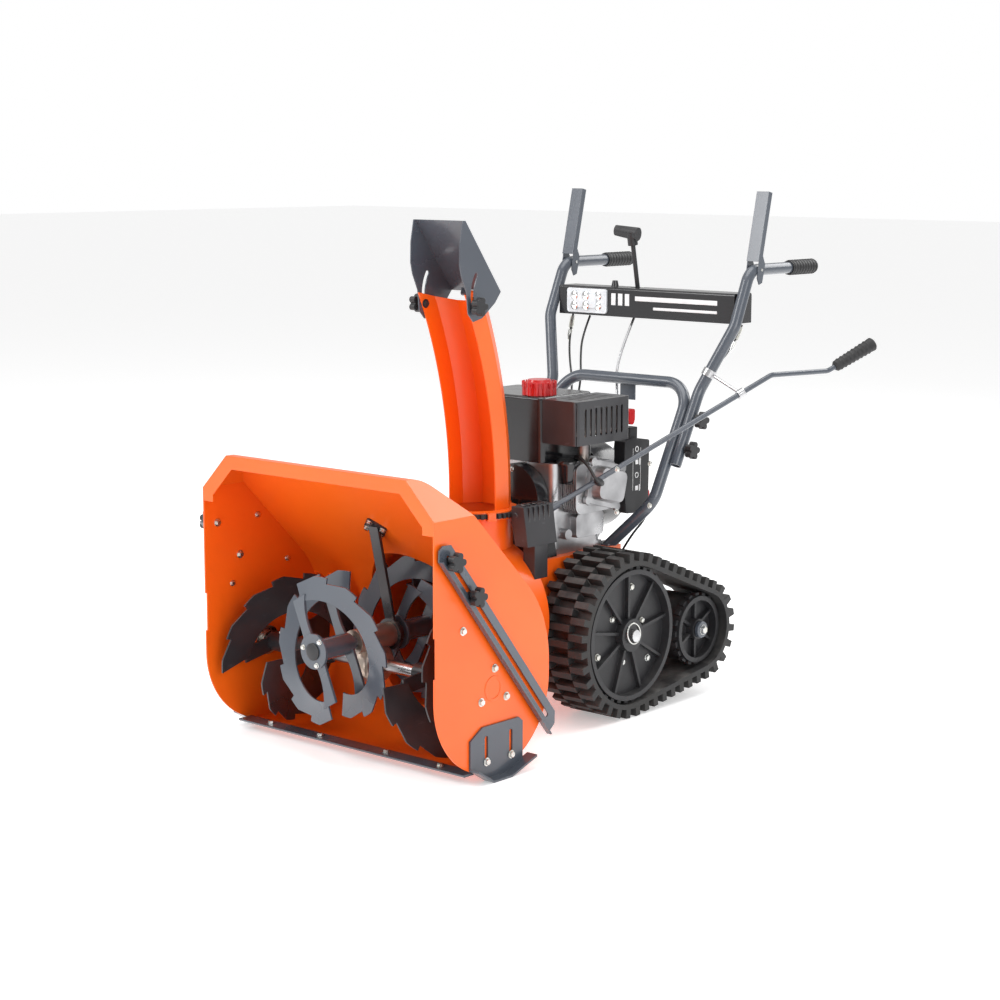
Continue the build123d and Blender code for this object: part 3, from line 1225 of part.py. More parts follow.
recoil_grip_y = recoil_back_y + 7 + GAP
with BuildPart() as recoil_handle:
    with BuildSketch(along_y(recoil_grip_y, -52, CRANKSHAFT_Z + 60)):
        Circle(9)
    extrude(amount=14)
    with BuildSketch(along_y(recoil_grip_y + 12, -52, CRANKSHAFT_Z + 60)):
        SlotOverall(86, 22)
    extrude(amount=18)
    fillet(recoil_handle.faces().sort_by(Axis.Y)[-1].edges(), 6)
recoil_handle.part.label = "recoil_handle"
export_step(recoil_handle.part, "parts/recoil_handle.step")

box_inner_x, box_outer_x = 96.0, 124.0
with BuildPart() as control_box:
    with BuildSketch(Plane.YZ.offset(box_inner_x)):
        Polygon(
            (624, 470),
            (632, 398),
            (708, 393),
            (710, 548),
            (660, 556),
            (626, 552),
            align=None,
        )
    extrude(amount=box_outer_x - box_inner_x)
    fillet(control_box.edges().filter_by(Axis.X), 5)
    with BuildSketch(Plane.YZ.offset(box_inner_x)):
        with Locations((662, 566)):
            Rectangle(26, 24)
    extrude(amount=22)
    with BuildSketch(Plane.YZ.offset(60)):
        with Locations((640, CRANKSHAFT_Z + 40)):
            Rectangle(26, 24)
    extrude(amount=box_inner_x - 60)
    with BuildSketch(along_y(recoil_front_y - 4, 0, CRANKSHAFT_Z)):
        Circle(recoil_radius + 0.2)
    extrude(amount=recoil_back_y - recoil_front_y + 8, mode=Mode.SUBTRACT)
control_box.part.label = "control_box"
export_step(control_box.part, "parts/control_box.step")

throttle_pivot_z = 592.0
with BuildPart() as throttle_knob:
    with BuildSketch(Plane.YZ.offset(box_inner_x + 4)):
        with Locations((662, throttle_pivot_z)):
            Circle(9)
            with Locations((0, 11)):
                RectangleRounded(20, 26, 5)
    extrude(amount=14)
throttle_knob.part.label = "throttle_knob"
export_step(throttle_knob.part, "parts/throttle_knob.step")

with BuildPart() as ignition_switch:
    with BuildSketch(along_y(710.5, 110, 427)):
        Circle(9)
    extrude(amount=6)
    with BuildSketch(along_y(716.5, 110, 427)):
        SlotOverall(20, 7, rotation=90)
    extrude(amount=10)
ignition_switch.part.label = "ignition_switch"
export_step(ignition_switch.part, "parts/ignition_switch.step")

# ---------------------------------------------------------------- handles
hoop_foot = Vector(86, 614, DECK_TOP - 6)
hoop_elbow = Vector(HOOP_HALF_WIDTH, 660, 425)
hoop_crown = Vector(HOOP_HALF_WIDTH, 787, 663)
hoop_points = [hoop_foot, hoop_elbow, hoop_crown]
hoop_points += [Vector(-point.X, point.Y, point.Z) for point in reversed(hoop_points)]
guide_half_width = 20.0
with BuildPart() as handle_hoop:
    add(bar(hoop_points, [70, 62, 62, 70], TUBE_RADIUS, TUBE_BORE))
    with BuildSketch(Plane.XY):
        Rectangle(DEEP, 2 * DEEP)
    extrude(amount=DECK_TOP, mode=Mode.SUBTRACT)
    # guide plate for the shift rod under the crown
    with BuildSketch(Plane.XZ.offset(-hoop_crown.Y - TUBE_RADIUS + 4)):
        with Locations((0, hoop_crown.Z - 27)):
            Rectangle(2 * guide_half_width, 38)
    extrude(amount=3)
    # feet on the deck
    with BuildSketch(Plane.XY.offset(DECK_TOP)):
        for sign in (1, -1):
            with Locations((sign * 82, 619)):
                Rectangle(38, 38)
    extrude(amount=4)
handle_hoop.part.label = "handle_hoop"
export_step(handle_hoop.part, "parts/handle_hoop.step")

tube_bend = Vector(HANDLE_HALF_WIDTH, 883, GRIP_Z)
tube_end = Vector(HANDLE_HALF_WIDTH, GRIP_END_Y - 4, GRIP_Z)
handle_shape = bar(
    [tube_low, tube_knee, tube_shoulder, tube_bend, tube_end], [70, 60, 40], TUBE_RADIUS, TUBE_BORE
)
for side, sign in SIDES:
    tube = handed(handle_shape, sign)
    tube.label = f"handle_tube_{side}"
    export_step(tube, f"parts/handle_tube_{side}.step")

with BuildPart() as hand_grips:
    for sign in (1, -1):
        with BuildSketch(along_y(GRIP_START_Y, sign * HANDLE_HALF_WIDTH, GRIP_Z)):
            Circle(GRIP_RADIUS)
        extrude(amount=GRIP_END_Y - GRIP_START_Y)
    chamfer(hand_grips.faces().group_by(Axis.Y)[-1].edges(), 4)
    for sign in (1, -1):
        with BuildSketch(along_y(GRIP_START_Y - 1, sign * HANDLE_HALF_WIDTH, GRIP_Z)):
            Circle(TUBE_RADIUS)
        extrude(amount=tube_end.Y - GRIP_START_Y + 1, mode=Mode.SUBTRACT)
hand_grips.part.label = "hand_grips"
export_step(hand_grips.part, "parts/hand_grips.step")

# ---------------------------------------------------------------- clutch levers
lever_clear = TUBE_RADIUS + 2.2  # from the pivot line to the underside of the lever
lever_inner_half = TUBE_RADIUS + 1.0
lever_sheet = 2.0
lever_plane = Plane(
    origin=(HANDLE_HALF_WIDTH, LEVER_PIVOT_Y, GRIP_Z),
    x_dir=(0, sin(radians(LEVER_LEAN)), cos(radians(LEVER_LEAN))),
    z_dir=(1, 0, 0),
)
with BuildPart() as lever_shape:
    with BuildSketch(lever_plane):
        with Locations((15, lever_clear - 11)):
            Rectangle(LEVER_LENGTH - 15, 11 + lever_sheet, align=(Align.MIN, Align.MIN))
        Polygon((-32, 2), (-26, -8), (14, -9), (30, 4), (30, lever_clear), (-20, 12), align=None)
    extrude(amount=lever_inner_half + lever_sheet, both=True)
    with BuildSketch(lever_plane):
        with Locations((-50, -40)):
            Rectangle(LEVER_LENGTH + 100, 40 + lever_clear, align=(Align.MIN, Align.MIN))
    extrude(amount=lever_inner_half, both=True, mode=Mode.SUBTRACT)
    with BuildSketch(lever_plane):
        with Locations((-50, -20)):
            Rectangle(65, 60, align=(Align.MIN, Align.MIN))
    extrude(amount=lever_inner_half, both=True, mode=Mode.SUBTRACT)
    with BuildSketch(lever_plane):
        Circle(3 + RUN_FIT)
    extrude(amount=DEEP, both=True, mode=Mode.SUBTRACT)
for side, sign in SIDES:
    lever = handed(lever_shape.part, sign)
    lever.label = f"clutch_lever_{side}"
    export_step(lever, f"parts/clutch_lever_{side}.step")

# ---------------------------------------------------------------- panel, lamp and shift lever
panel_wall = 2.5
shift_x, shift_pivot_y, shift_pivot_z = -50.0, 896.0, 822.0
slot_front_y, slot_back_y = 868.0, 909.0
with BuildPart() as panel_box:
    with BuildSketch(Plane.YZ):
        with Locations((PANEL_FRONT_Y, PANEL_LOW)):
            panel_size = (PANEL_BACK_Y - PANEL_FRONT_Y, PANEL_TOP - PANEL_LOW)
            Rectangle(*panel_size, align=(Align.MIN, Align.MIN))
    extrude(amount=PANEL_HALF_WIDTH, both=True)
    fillet(panel_box.edges().filter_by(Axis.X).group_by(Axis.Z)[-1], 6)
    with BuildSketch(Plane.YZ):
        with Locations((PANEL_FRONT_Y + panel_wall, PANEL_LOW - 1)):
            inner_size = (panel_size[0] - 2 * panel_wall, panel_size[1] - panel_wall + 1)
            Rectangle(*inner_size, align=(Align.MIN, Align.MIN))
    extrude(amount=PANEL_HALF_WIDTH - panel_wall, both=True, mode=Mode.SUBTRACT)
    with BuildSketch(Plane.XY.offset(PANEL_TOP - 10)):
        with Locations((shift_x, (slot_front_y + slot_back_y) / 2)):
            Rectangle(14, slot_back_y - slot_front_y)
    extrude(amount=20, mode=Mode.SUBTRACT)
    # ears either side of the shift lever pivot
    for x in (shift_x - 12, shift_x + 8):
        with BuildSketch(Plane.YZ.offset(x)):
            with Locations((PANEL_BACK_Y - panel_wall - 26, PANEL_LOW + 8)):
                Rectangle(27, 50, align=(Align.MIN, Align.MIN))
            with Locations((shift_pivot_y, shift_pivot_z)):
                Circle(4 + RUN_FIT, mode=Mode.SUBTRACT)
        extrude(amount=4)
    # small knob of the preheater on the top
    with BuildSketch(Plane.XY.offset(PANEL_TOP - 1)):
        with Locations((-98, 870)):
            Circle(9)
    extrude(amount=15, taper=12)
panel_box.part.label = "panel_box"
export_step(panel_box.part, "parts/panel_box.step")

lamp_centre_x, lamp_z = -158.0, (PANEL_LOW + PANEL_TOP) / 2
with BuildPart() as headlight:
    with BuildSketch(Plane.XZ.offset(-PANEL_FRONT_Y)):
        with Locations((lamp_centre_x, lamp_z)):
            RectangleRounded(112, 54, 6)
    extrude(amount=4)
    with BuildSketch(Plane.XZ.offset(-PANEL_FRONT_Y + 4)):
        with Locations((lamp_centre_x - 8, lamp_z)):
            RectangleRounded(74, 32, 5)
    extrude(amount=4)
headlight.part.label = "headlight"
export_step(headlight.part, "parts/headlight.step")

lever_way = Vector(0, 868 - shift_pivot_y, 962 - shift_pivot_z).normalized()
shift_base = Vector(shift_x, shift_pivot_y, shift_pivot_z)
shift_top = shift_base + lever_way * 142
with BuildPart() as shift_lever:
    add(bar([shift_base, shift_top], [], 5))
    with BuildSketch(Plane.YZ.offset(shift_x - 7)):
        with Locations((shift_pivot_y, shift_pivot_z)):
            Circle(9)
    extrude(amount=14)
    with BuildSketch(Plane.YZ.offset(shift_x)):
        with Locations((shift_pivot_y, shift_pivot_z)):
            Circle(4)
    extrude(amount=12, both=True)
    with BuildSketch(Plane(origin=shift_top - lever_way * 14, z_dir=lever_way)):
        Circle(11)
    extrude(amount=30)
    with BuildSketch(Plane(origin=shift_top + Vector(16, 0, 10), z_dir=(-1, 0, 0.12))):
        Ellipse(15, 12)
    extrude(amount=62, taper=3)
shift_lever.part.label = "shift_lever"
export_step(shift_lever.part, "parts/shift_lever.step")

# ---------------------------------------------------------------- wear parts on the side plates
cutter_way = Vector(cos(radians(CUTTER_ANGLE)), -sin(radians(CUTTER_ANGLE)))
cutter_across = Vector(sin(radians(CUTTER_ANGLE)), cos(radians(CUTTER_ANGLE)))
knob_stations = (36.0, 128.0)
cutter_thick, cutter_flange = 3.0, 12.0
cutter_plane = Plane(
    origin=(HALF + CUTTER_STANDOFF, *CUTTER_UPPER),
    x_dir=(0, cutter_way.X, cutter_way.Y),
    z_dir=(1, 0, 0),
)
with BuildPart() as cutter_shape:
    with BuildSketch(cutter_plane):
        half_width = CUTTER_WIDTH / 2
        Polygon(
            (0, half_width - 16),
            (14, half_width),
            (CUTTER_LENGTH - 18, half_width),
            (CUTTER_LENGTH, half_width - 16),
            (CUTTER_LENGTH, -half_width),
            (16, -half_width),
            (0, -half_width + 14),
            align=None,
        )
        with Locations((22, 0)):
            slot_length = CUTTER_LENGTH - 50
            with Locations((slot_length / 2, 0)):
                SlotOverall(slot_length, 9.5, mode=Mode.SUBTRACT)
    extrude(amount=cutter_thick)
    with BuildSketch(cutter_plane):
        with Locations((16, -half_width)):
            Rectangle(CUTTER_LENGTH - 16, cutter_thick, align=(Align.MIN, Align.MIN))
    extrude(amount=cutter_flange)
for side, sign in SIDES:
    cutter = handed(cutter_shape.part, sign)
    cutter.label = f"drift_cutter_{side}"
    export_step(cutter, f"parts/drift_cutter_{side}.step")

skid_inner_x, skid_thick, skid_foot_width = HALF + 0.4, 4.0, 25.0
sole_points = [(-68, 26), (-26, 0), (26, 0), (97, 24)]
with BuildPart() as skid_shape:
    with BuildSketch(Plane.YZ.offset(skid_inner_x)):
        Polygon((-68, 26), (-26, 0), (26, 0), (79, 18), (79, 94), (68, 103), (-34, 103), (-68, 82),
                align=None)
        for y in SKID_SLOT_Y:
            with Locations((y, (SKID_SLOT_LOW + SKID_SLOT_HIGH) / 2)):
                SlotOverall(SKID_SLOT_HIGH - SKID_SLOT_LOW + 10, 9, rotation=90, mode=Mode.SUBTRACT)
    extrude(amount=skid_thick)
    with BuildSketch(Plane.YZ.offset(skid_inner_x)):
        upper = [(97, 28.4), (25.4, 4), (-24.8, 4), (-68, 30.8)]
        Polygon(*sole_points, *upper, align=None)
    extrude(amount=skid_foot_width)
for side, sign in SIDES:
    skid = handed(skid_shape.part, sign)
    skid.label = f"skid_shoe_{side}"
    export_step(skid, f"parts/skid_shoe_{side}.step")

# ---------------------------------------------------------------- knobs and fixings
leg_way = (hoop_crown - hoop_elbow).normalized()
handle_stations = (0.22, 0.62)  # share of the straight lower run of the handle tube
with BuildPart() as clamp_knobs:
    for sign in (1, -1):
        seats = []
        for station in knob_stations:
            at = Vector(*CUTTER_UPPER) + cutter_way * station
            origin = (sign * HALF, at.X, at.Y)
            seats.append(Plane(origin=origin, x_dir=(0, 1, 0), z_dir=(sign, 0, 0)))
        with Locations(*seats):
            add(star_knob(CUTTER_STANDOFF + cutter_thick + 0.4))
            Cylinder(8, CUTTER_STANDOFF - 0.4, align=(Align.CENTER, Align.CENTER, Align.MIN))
        seats = []
        for station in handle_stations:
            at = tube_low + (tube_knee - tube_low) * station
            origin = (sign * (at.X + TUBE_RADIUS), at.Y, at.Z)
            seats.append(Plane(origin=origin, x_dir=(0, 1, 0), z_dir=(sign, 0, 0)))
        with Locations(*seats):
            add(star_knob(2.0))
clamp_knobs.part.label = "clamp_knobs"
export_step(clamp_knobs.part, "parts/clamp_knobs.step")

small_bolt, medium_bolt = hex_bolt(6.0, 4.5, 0), hex_bolt(8.0, 6.0, 0)
with BuildPart() as fixings:
    for sign in (1, -1):
        outside, inside = [], []
        for y, z in ((3, 208), (36, 149), (-34, 150), (-84, 292)):
            outside.append(Plane(origin=(sign * HALF, y, z), z_dir=(sign, 0, 0)))
        with Locations(*outside):
            add(small_bolt)
        for station in knob_stations:
            at = Vector(*CUTTER_UPPER) + cutter_way * station
            origin = (sign * (HALF - SHEET), at.X, at.Y)
            inside.append(Plane(origin=origin, z_dir=(-sign, 0, 0)))
        with Locations(*inside):
            add(small_bolt)
        slot_bolts = []
        for y in SKID_SLOT_Y:
            origin = (sign * (skid_inner_x + skid_thick + 0.4), y, SKID_SLOT_LOW)
            slot_bolts.append(Plane(origin=origin, z_dir=(sign, 0, 0)))
        with Locations(*slot_bolts):
            add(small_bolt)
            Cylinder(4, skid_thick + 0.8, align=(Align.CENTER, Align.CENTER, Align.MAX))
        # bearing at the end of the auger shaft
        with BuildSketch(Plane.YZ.offset(sign * (HALF - SHEET))):
            with Locations((0, AUGER_AXIS_Z)):
                Circle(30)
        extrude(amount=-sign * 4)
        with BuildSketch(Plane.YZ.offset(sign * (HALF - SHEET))):
            with Locations((0, AUGER_AXIS_Z)):
                Circle(20)
        extrude(amount=-sign * 11)
        with BuildSketch(Plane.YZ.offset(sign * (HALF - SHEET))):
            with Locations((0, AUGER_AXIS_Z)):
                Circle(SHAFT_RADIUS + RUN_FIT)
        extrude(amount=-sign * 14, mode=Mode.SUBTRACT)
        # lever pivots
        with BuildSketch(Plane.YZ.offset(sign * HANDLE_HALF_WIDTH)):
            with Locations((LEVER_PIVOT_Y, GRIP_Z)):
                Circle(3)
        extrude(amount=lever_inner_half + lever_sheet + 1, both=True)
        with BuildSketch(Plane.YZ.offset(sign * HANDLE_HALF_WIDTH)):
            with Locations((LEVER_PIVOT_Y, GRIP_Z)):
                Circle(4)
        extrude(amount=TUBE_RADIUS + 0.1, both=True, mode=Mode.SUBTRACT)
        # track idler caps
        with Locations(
            Plane(origin=(sign * (TRACK_INNER_X + TRACK_WIDTH - 6), IDLER_Y, IDLER_Z), z_dir=(sign, 0, 0))
        ):
            add(medium_bolt)
    # strut plate and scraper bolts
    with Locations(strut_seat.offset(4)):
        with PolarLocations(21, 4):
            add(hex_bolt(5.0, 4, 0))
    scraper_top = Plane.XY.offset(lip_z - 1 + SCRAPER_THICK)
    for x in (-230, -90, 90, 230):
        with Locations(Plane(origin=(x, LIP_START_Y - 16, scraper_top.origin.Z))):
            add(hex_bolt(5.5, 4, 0))
fixings.part.label = "fixings"
export_step(fixings.part, "parts/fixings.step")

# ---------------------------------------------------------------- control cables
cable_radius = 2.4
clutch_route = [
    (232, 888, 786),
    (224, 866, 740),
    (198, 834, 692),
    (170, 812, 640),
    (150, 776, 580),
    (146, 734, 510),
    (142, 704, 440),
    (138, 684, 384),
    (112, 662, 344),
    (92, 652, CABLE_SHELF_Z + 1.2),
]
lamp_route = [
    (-176, 880, 786),
    (-180, 858, 742),
    (-166, 834, 700),
    (-146, 812, 650),
    (-134, 782, 600),
    (-130, 748, 540),
    (-126, 718, 470),
    (-118, 690, 404),
    (-84, 664, 350),
    (-66, 652, CABLE_SHELF_Z + 1.2),
]
shift_route = [
    (-45, 872, 788),
    (-45, 812, 700),
    (-42, 808, 640),
    (8, 752, 560),
    (14, 716, 460),
    (14, 712, 360),
    (10, 652, CABLE_SHELF_Z + 2.3),
]


def route_radii(route: list) -> list:
    """Arc radius at each inner point: 0.45 of the shorter run over the tangent of half the turn."""
    points = [Vector(*point) for point in route]
    radii = []
    for before, at, after in zip(points, points[1:], points[2:]):
        turn = radians((at - before).get_angle(after - at))
        shorter = min((at - before).length, (after - at).length)
        radii.append(0.45 * shorter / sin(turn / 2) * cos(turn / 2))
    print("arc radii", [round(radius) for radius in radii])
    return radii


with BuildPart() as control_cables:
    clutch_cable = bar(clutch_route, route_radii(clutch_route), cable_radius)
    add(clutch_cable)
    add(mirror(clutch_cable, about=Plane.YZ))
    add(bar(lamp_route, route_radii(lamp_route), cable_radius))
    add(bar(shift_route, route_radii(shift_route), 3.0))
control_cables.part.label = "control_cables"
export_step(control_cables.part, "parts/control_cables.step")
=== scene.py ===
"""Looks of a tracked snow blower with three clearing stages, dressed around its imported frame.

Metres. +X is the operator's left, -Y is the front and +Z is up.
"""

import logging
import math
from dataclasses import dataclass, field
from enum import Enum

import bpy
from mathutils import Matrix, Vector


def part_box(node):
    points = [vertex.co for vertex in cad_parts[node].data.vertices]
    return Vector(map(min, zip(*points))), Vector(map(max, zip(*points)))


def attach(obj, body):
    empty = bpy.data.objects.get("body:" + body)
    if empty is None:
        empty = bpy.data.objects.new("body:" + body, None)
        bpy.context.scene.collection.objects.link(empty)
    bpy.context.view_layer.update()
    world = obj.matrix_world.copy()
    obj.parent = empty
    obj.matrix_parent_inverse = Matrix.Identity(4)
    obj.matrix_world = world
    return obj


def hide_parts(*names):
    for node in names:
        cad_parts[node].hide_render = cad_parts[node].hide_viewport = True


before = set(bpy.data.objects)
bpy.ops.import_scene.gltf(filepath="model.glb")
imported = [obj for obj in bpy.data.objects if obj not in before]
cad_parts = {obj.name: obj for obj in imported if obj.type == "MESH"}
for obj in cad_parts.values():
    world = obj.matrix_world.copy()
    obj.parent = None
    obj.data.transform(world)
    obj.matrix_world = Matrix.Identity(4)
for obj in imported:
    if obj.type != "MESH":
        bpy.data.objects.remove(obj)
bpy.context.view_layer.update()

log = logging.getLogger("snow_blower")
Colour = tuple[float, float, float]
Point = tuple[float, float, float]
Piece = bpy.types.Object
Tree = bpy.types.NodeTree
Socket = bpy.types.NodeSocket
CLEAR: float = 0.05  # how far outside a box a search ray starts
BESIDE: float = 0.40  # sideways distance past every wheel
DUST_SHADE: Colour = (0.42, 0.41, 0.39)
COAT_ROUGHNESS: float = 0.12
WHITE: tuple[float, ...] = (1.0, 1.0, 1.0, 1.0)


def preset(node: bpy.types.Node, values: dict[str, object]) -> bpy.types.Node:
    """Sets inputs of a node by name and returns the node."""
    for name, value in values.items():
        node.inputs[name].default_value = value
    return node


def show(name: str, data: bpy.types.ID) -> Piece:
    """Makes an object of the given data and links it to the scene."""
    piece = bpy.data.objects.new(name, data)
    bpy.context.scene.collection.objects.link(piece)
    return piece


def wire(tree: Tree, *pairs: tuple) -> None:
    """Links output sockets to input sockets of a node tree, pair by pair."""
    for source, target in pairs:
        tree.links.new(source, target)


class Effect(Enum):
    """Shader node groups that several finishes share."""

    TONE = "surface_tone"
    GRAIN = "surface_grain"
    DUST = "settled_dust"
    SCUFF = "edge_scuffs"


class EffectLibrary:
    """Builds each shared node group once and hands out copies of its node."""

    def __init__(self) -> None:
        """Builds the four groups."""
        self.trees: dict[Effect, Tree] = {
            Effect.TONE: self._tone(),
            Effect.GRAIN: self._grain(),
            Effect.DUST: self._dust(),
            Effect.SCUFF: self._scuff(),
        }

    @staticmethod
    def _shell(effect: Effect, inputs: dict[str, float], output: str) -> tuple:
        """Makes an empty group.

        Args:
            effect: The effect that the group makes.
            inputs: Input names with their default values.
            output: Name of the one output.

        Returns:
            The tree, its input node and its output node.
        """
        tree = bpy.data.node_groups.new(effect.value, "ShaderNodeTree")
        for name, value in inputs.items():
            socket = tree.interface.new_socket(name, in_out="INPUT", socket_type="NodeSocketFloat")
            socket.default_value = value
        tree.interface.new_socket(output, in_out="OUTPUT", socket_type="NodeSocketFloat")
        return tree, tree.nodes.new("NodeGroupInput"), tree.nodes.new("NodeGroupOutput")

    @staticmethod
    def _noise(tree: Tree, detail: float, stretch: Point = (1, 1, 1)) -> bpy.types.Node:
        """Adds a noise texture on Object coordinates.

        Args:
            tree: The group that gets the node.
            detail: Octaves of the noise.
            stretch: Scale along each axis.

        Returns:
            The noise node.
        """
        place = tree.nodes.new("ShaderNodeTexCoord")
        mapping = tree.nodes.new("ShaderNodeMapping")
        preset(mapping, {"Scale": stretch})
        noise = preset(tree.nodes.new("ShaderNodeTexNoise"), {"Detail": detail})
        wire(
            tree,
            (place.outputs["Object"], mapping.inputs["Vector"]),
            (mapping.outputs["Vector"], noise.inputs["Vector"]),
        )
        return noise

    @staticmethod
    def _ramp(tree: Tree, low: float, high: float) -> bpy.types.Node:
        """Adds a Map Range node that stretches low..high to 0..1."""
        node = tree.nodes.new("ShaderNodeMapRange")
        return preset(node, {"From Min": low, "From Max": high})

    @staticmethod
    def _times(tree: Tree) -> bpy.types.Node:
        """Adds a Math node that multiplies its two inputs."""
        node = tree.nodes.new("ShaderNodeMath")
        node.operation = "MULTIPLY"
        return node

    def _tone(self) -> Tree:
        """Slow change of shade over a surface, from 0 to 1."""
        tree, given, result = self._shell(Effect.TONE, {"Scale": 6.0}, "Value")
        noise = self._noise(tree, 5.0)
        ramp = self._ramp(tree, 0.34, 0.66)
        wire(
            tree,
            (given.outputs["Scale"], noise.inputs["Scale"]),
            (noise.outputs["Fac"], ramp.inputs["Value"]),
            (ramp.outputs["Result"], result.inputs["Value"]),
        )
        return tree

    def _grain(self) -> Tree:
        """Fine texture: soft noise broken by small cells, as on cast or moulded faces."""
        tree, given, result = self._shell(Effect.GRAIN, {"Scale": 400.0, "Cells": 0.4}, "Height")
        noise = self._noise(tree, 3.0)
        cells = tree.nodes.new("ShaderNodeTexVoronoi")
        place = tree.nodes.new("ShaderNodeTexCoord")
        mix = tree.nodes.new("ShaderNodeMix")
        wire(
            tree,
            (place.outputs["Object"], cells.inputs["Vector"]),
            (given.outputs["Scale"], noise.inputs["Scale"]),
            (given.outputs["Scale"], cells.inputs["Scale"]),
            (given.outputs["Cells"], mix.inputs[0]),
            (noise.outputs["Fac"], mix.inputs[2]),
            (cells.outputs["Distance"], mix.inputs[3]),
            (mix.outputs[0], result.inputs["Height"]),
        )
        return tree

    def _dust(self) -> Tree:
        """Pale dust that gathers on faces that look up."""
        tree, given, result = self._shell(Effect.DUST, {"Amount": 0.2}, "Mask")
        noise = self._noise(tree, 6.0)
        preset(noise, {"Scale": 22.0})
        geometry = tree.nodes.new("ShaderNodeNewGeometry")
        split = tree.nodes.new("ShaderNodeSeparateXYZ")
        up = self._ramp(tree, 0.1, 1.0)
        patches = self._ramp(tree, 0.42, 0.7)
        product, scaled = self._times(tree), self._times(tree)
        wire(
            tree,
            (geometry.outputs["Normal"], split.inputs[0]),
            (split.outputs["Z"], up.inputs["Value"]),
            (noise.outputs["Fac"], patches.inputs["Value"]),
            (up.outputs["Result"], product.inputs[0]),
            (patches.outputs["Result"], product.inputs[1]),
            (product.outputs[0], scaled.inputs[0]),
            (given.outputs["Amount"], scaled.inputs[1]),
            (scaled.outputs[0], result.inputs["Mask"]),
        )
        return tree

    def _scuff(self) -> Tree:
        """Sparse scratches and rubbed spots, as small wear marks."""
        tree, given, result = self._shell(Effect.SCUFF, {"Amount": 0.2, "Scale": 60.0}, "Mask")
        noise = self._noise(tree, 8.0, (1.0, 0.35, 1.6))
        ramp = self._ramp(tree, 0.66, 0.72)
        scaled = self._times(tree)
        wire(
            tree,
            (given.outputs["Scale"], noise.inputs["Scale"]),
            (noise.outputs["Fac"], ramp.inputs["Value"]),
            (ramp.outputs["Result"], scaled.inputs[0]),
            (given.outputs["Amount"], scaled.inputs[1]),
            (scaled.outputs[0], result.inputs["Mask"]),
        )
        return tree

    def place(self, tree: Tree, effect: Effect, **values: float) -> bpy.types.Node:
        """Places an effect in a material.

        Args:
            tree: The material's node tree.
            effect: Which effect to place.
            values: Values for the group's inputs.

        Returns:
            The group node.
        """
        node = tree.nodes.new("ShaderNodeGroup")
        node.node_tree = self.trees[effect]
        return preset(node, values)


@dataclass(frozen=True)
class Finish:
    """One surface finish: its two shades, gloss, grain, dust and wear."""

    name: str
    shade: Colour
    second: Colour
    rough: tuple[float, float]
    metallic: float = 0.0
    tone_scale: float = 6.0
    grain_scale: float = 420.0
    grain_depth: float = 0.00006
    cells: float = 0.4
    coat: float = 0.0
    dust: float = 0.12
    scuff: float = 0.15
    scuff_shade: Colour = (0.35, 0.35, 0.35)
    soft_edge: float = 0.0012

    def make(self, library: EffectLibrary) -> bpy.types.Material:
        """Builds the node material.

        Args:
            library: The shared effects.

        Returns:
            The finished material.
        """
        material = bpy.data.materials.new(self.name)
        material.use_nodes = True
        tree = material.node_tree
        shader = tree.nodes["Principled BSDF"]
        tone = library.place(tree, Effect.TONE, Scale=self.tone_scale)
        dust = library.place(tree, Effect.DUST, Amount=self.dust)
        scuff = library.place(tree, Effect.SCUFF, Amount=self.scuff)
        grain = library.place(tree, Effect.GRAIN, Scale=self.grain_scale, Cells=self.cells)
        shade = self._mix(tree, tone.outputs[0], self.shade, self.second)
        worn = self._mix(tree, scuff.outputs[0], shade, self.scuff_shade)
        dusty = self._mix(tree, dust.outputs[0], worn, DUST_SHADE)
        tree.links.new(dusty, shader.inputs["Base Color"])
        gloss = tree.nodes.new("ShaderNodeMapRange")
        preset(gloss, {"To Min": self.rough[0], "To Max": self.rough[1]})
        tree.links.new(tone.outputs[0], gloss.inputs["Value"])
        tree.links.new(gloss.outputs["Result"], shader.inputs["Roughness"])
        bump = tree.nodes.new("ShaderNodeBump")
        preset(bump, {"Distance": self.grain_depth})
        tree.links.new(grain.outputs[0], bump.inputs["Height"])
        if self.soft_edge:
            edge = tree.nodes.new("ShaderNodeBevel")
            edge.samples = 4
            preset(edge, {"Radius": self.soft_edge})
            tree.links.new(edge.outputs["Normal"], bump.inputs["Normal"])
        tree.links.new(bump.outputs["Normal"], shader.inputs["Normal"])
        preset(shader, {"Metallic": self.metallic, "Coat Weight": self.coat})
        preset(shader, {"Coat Roughness": COAT_ROUGHNESS})
        return material

    @staticmethod
    def _mix(tree: Tree, mask: Socket, low: object, high: object) -> Socket:
        """Mixes two colours, or sockets, by a mask.

        Args:
            tree: The material's node tree.
            mask: Socket with the mask.
            low: Colour or socket shown where the mask is 0.
            high: Colour or socket shown where the mask is 1.

        Returns:
            The mixed colour's socket.
        """
        mix = tree.nodes.new("ShaderNodeMix")
        mix.data_type = "RGBA"
        tree.links.new(mask, mix.inputs[0])
        for value, socket in ((low, mix.inputs[6]), (high, mix.inputs[7])):
            if isinstance(value, tuple):
                socket.default_value = (*value, 1.0)
            else:
                tree.links.new(value, socket)
        return mix.outputs[2]


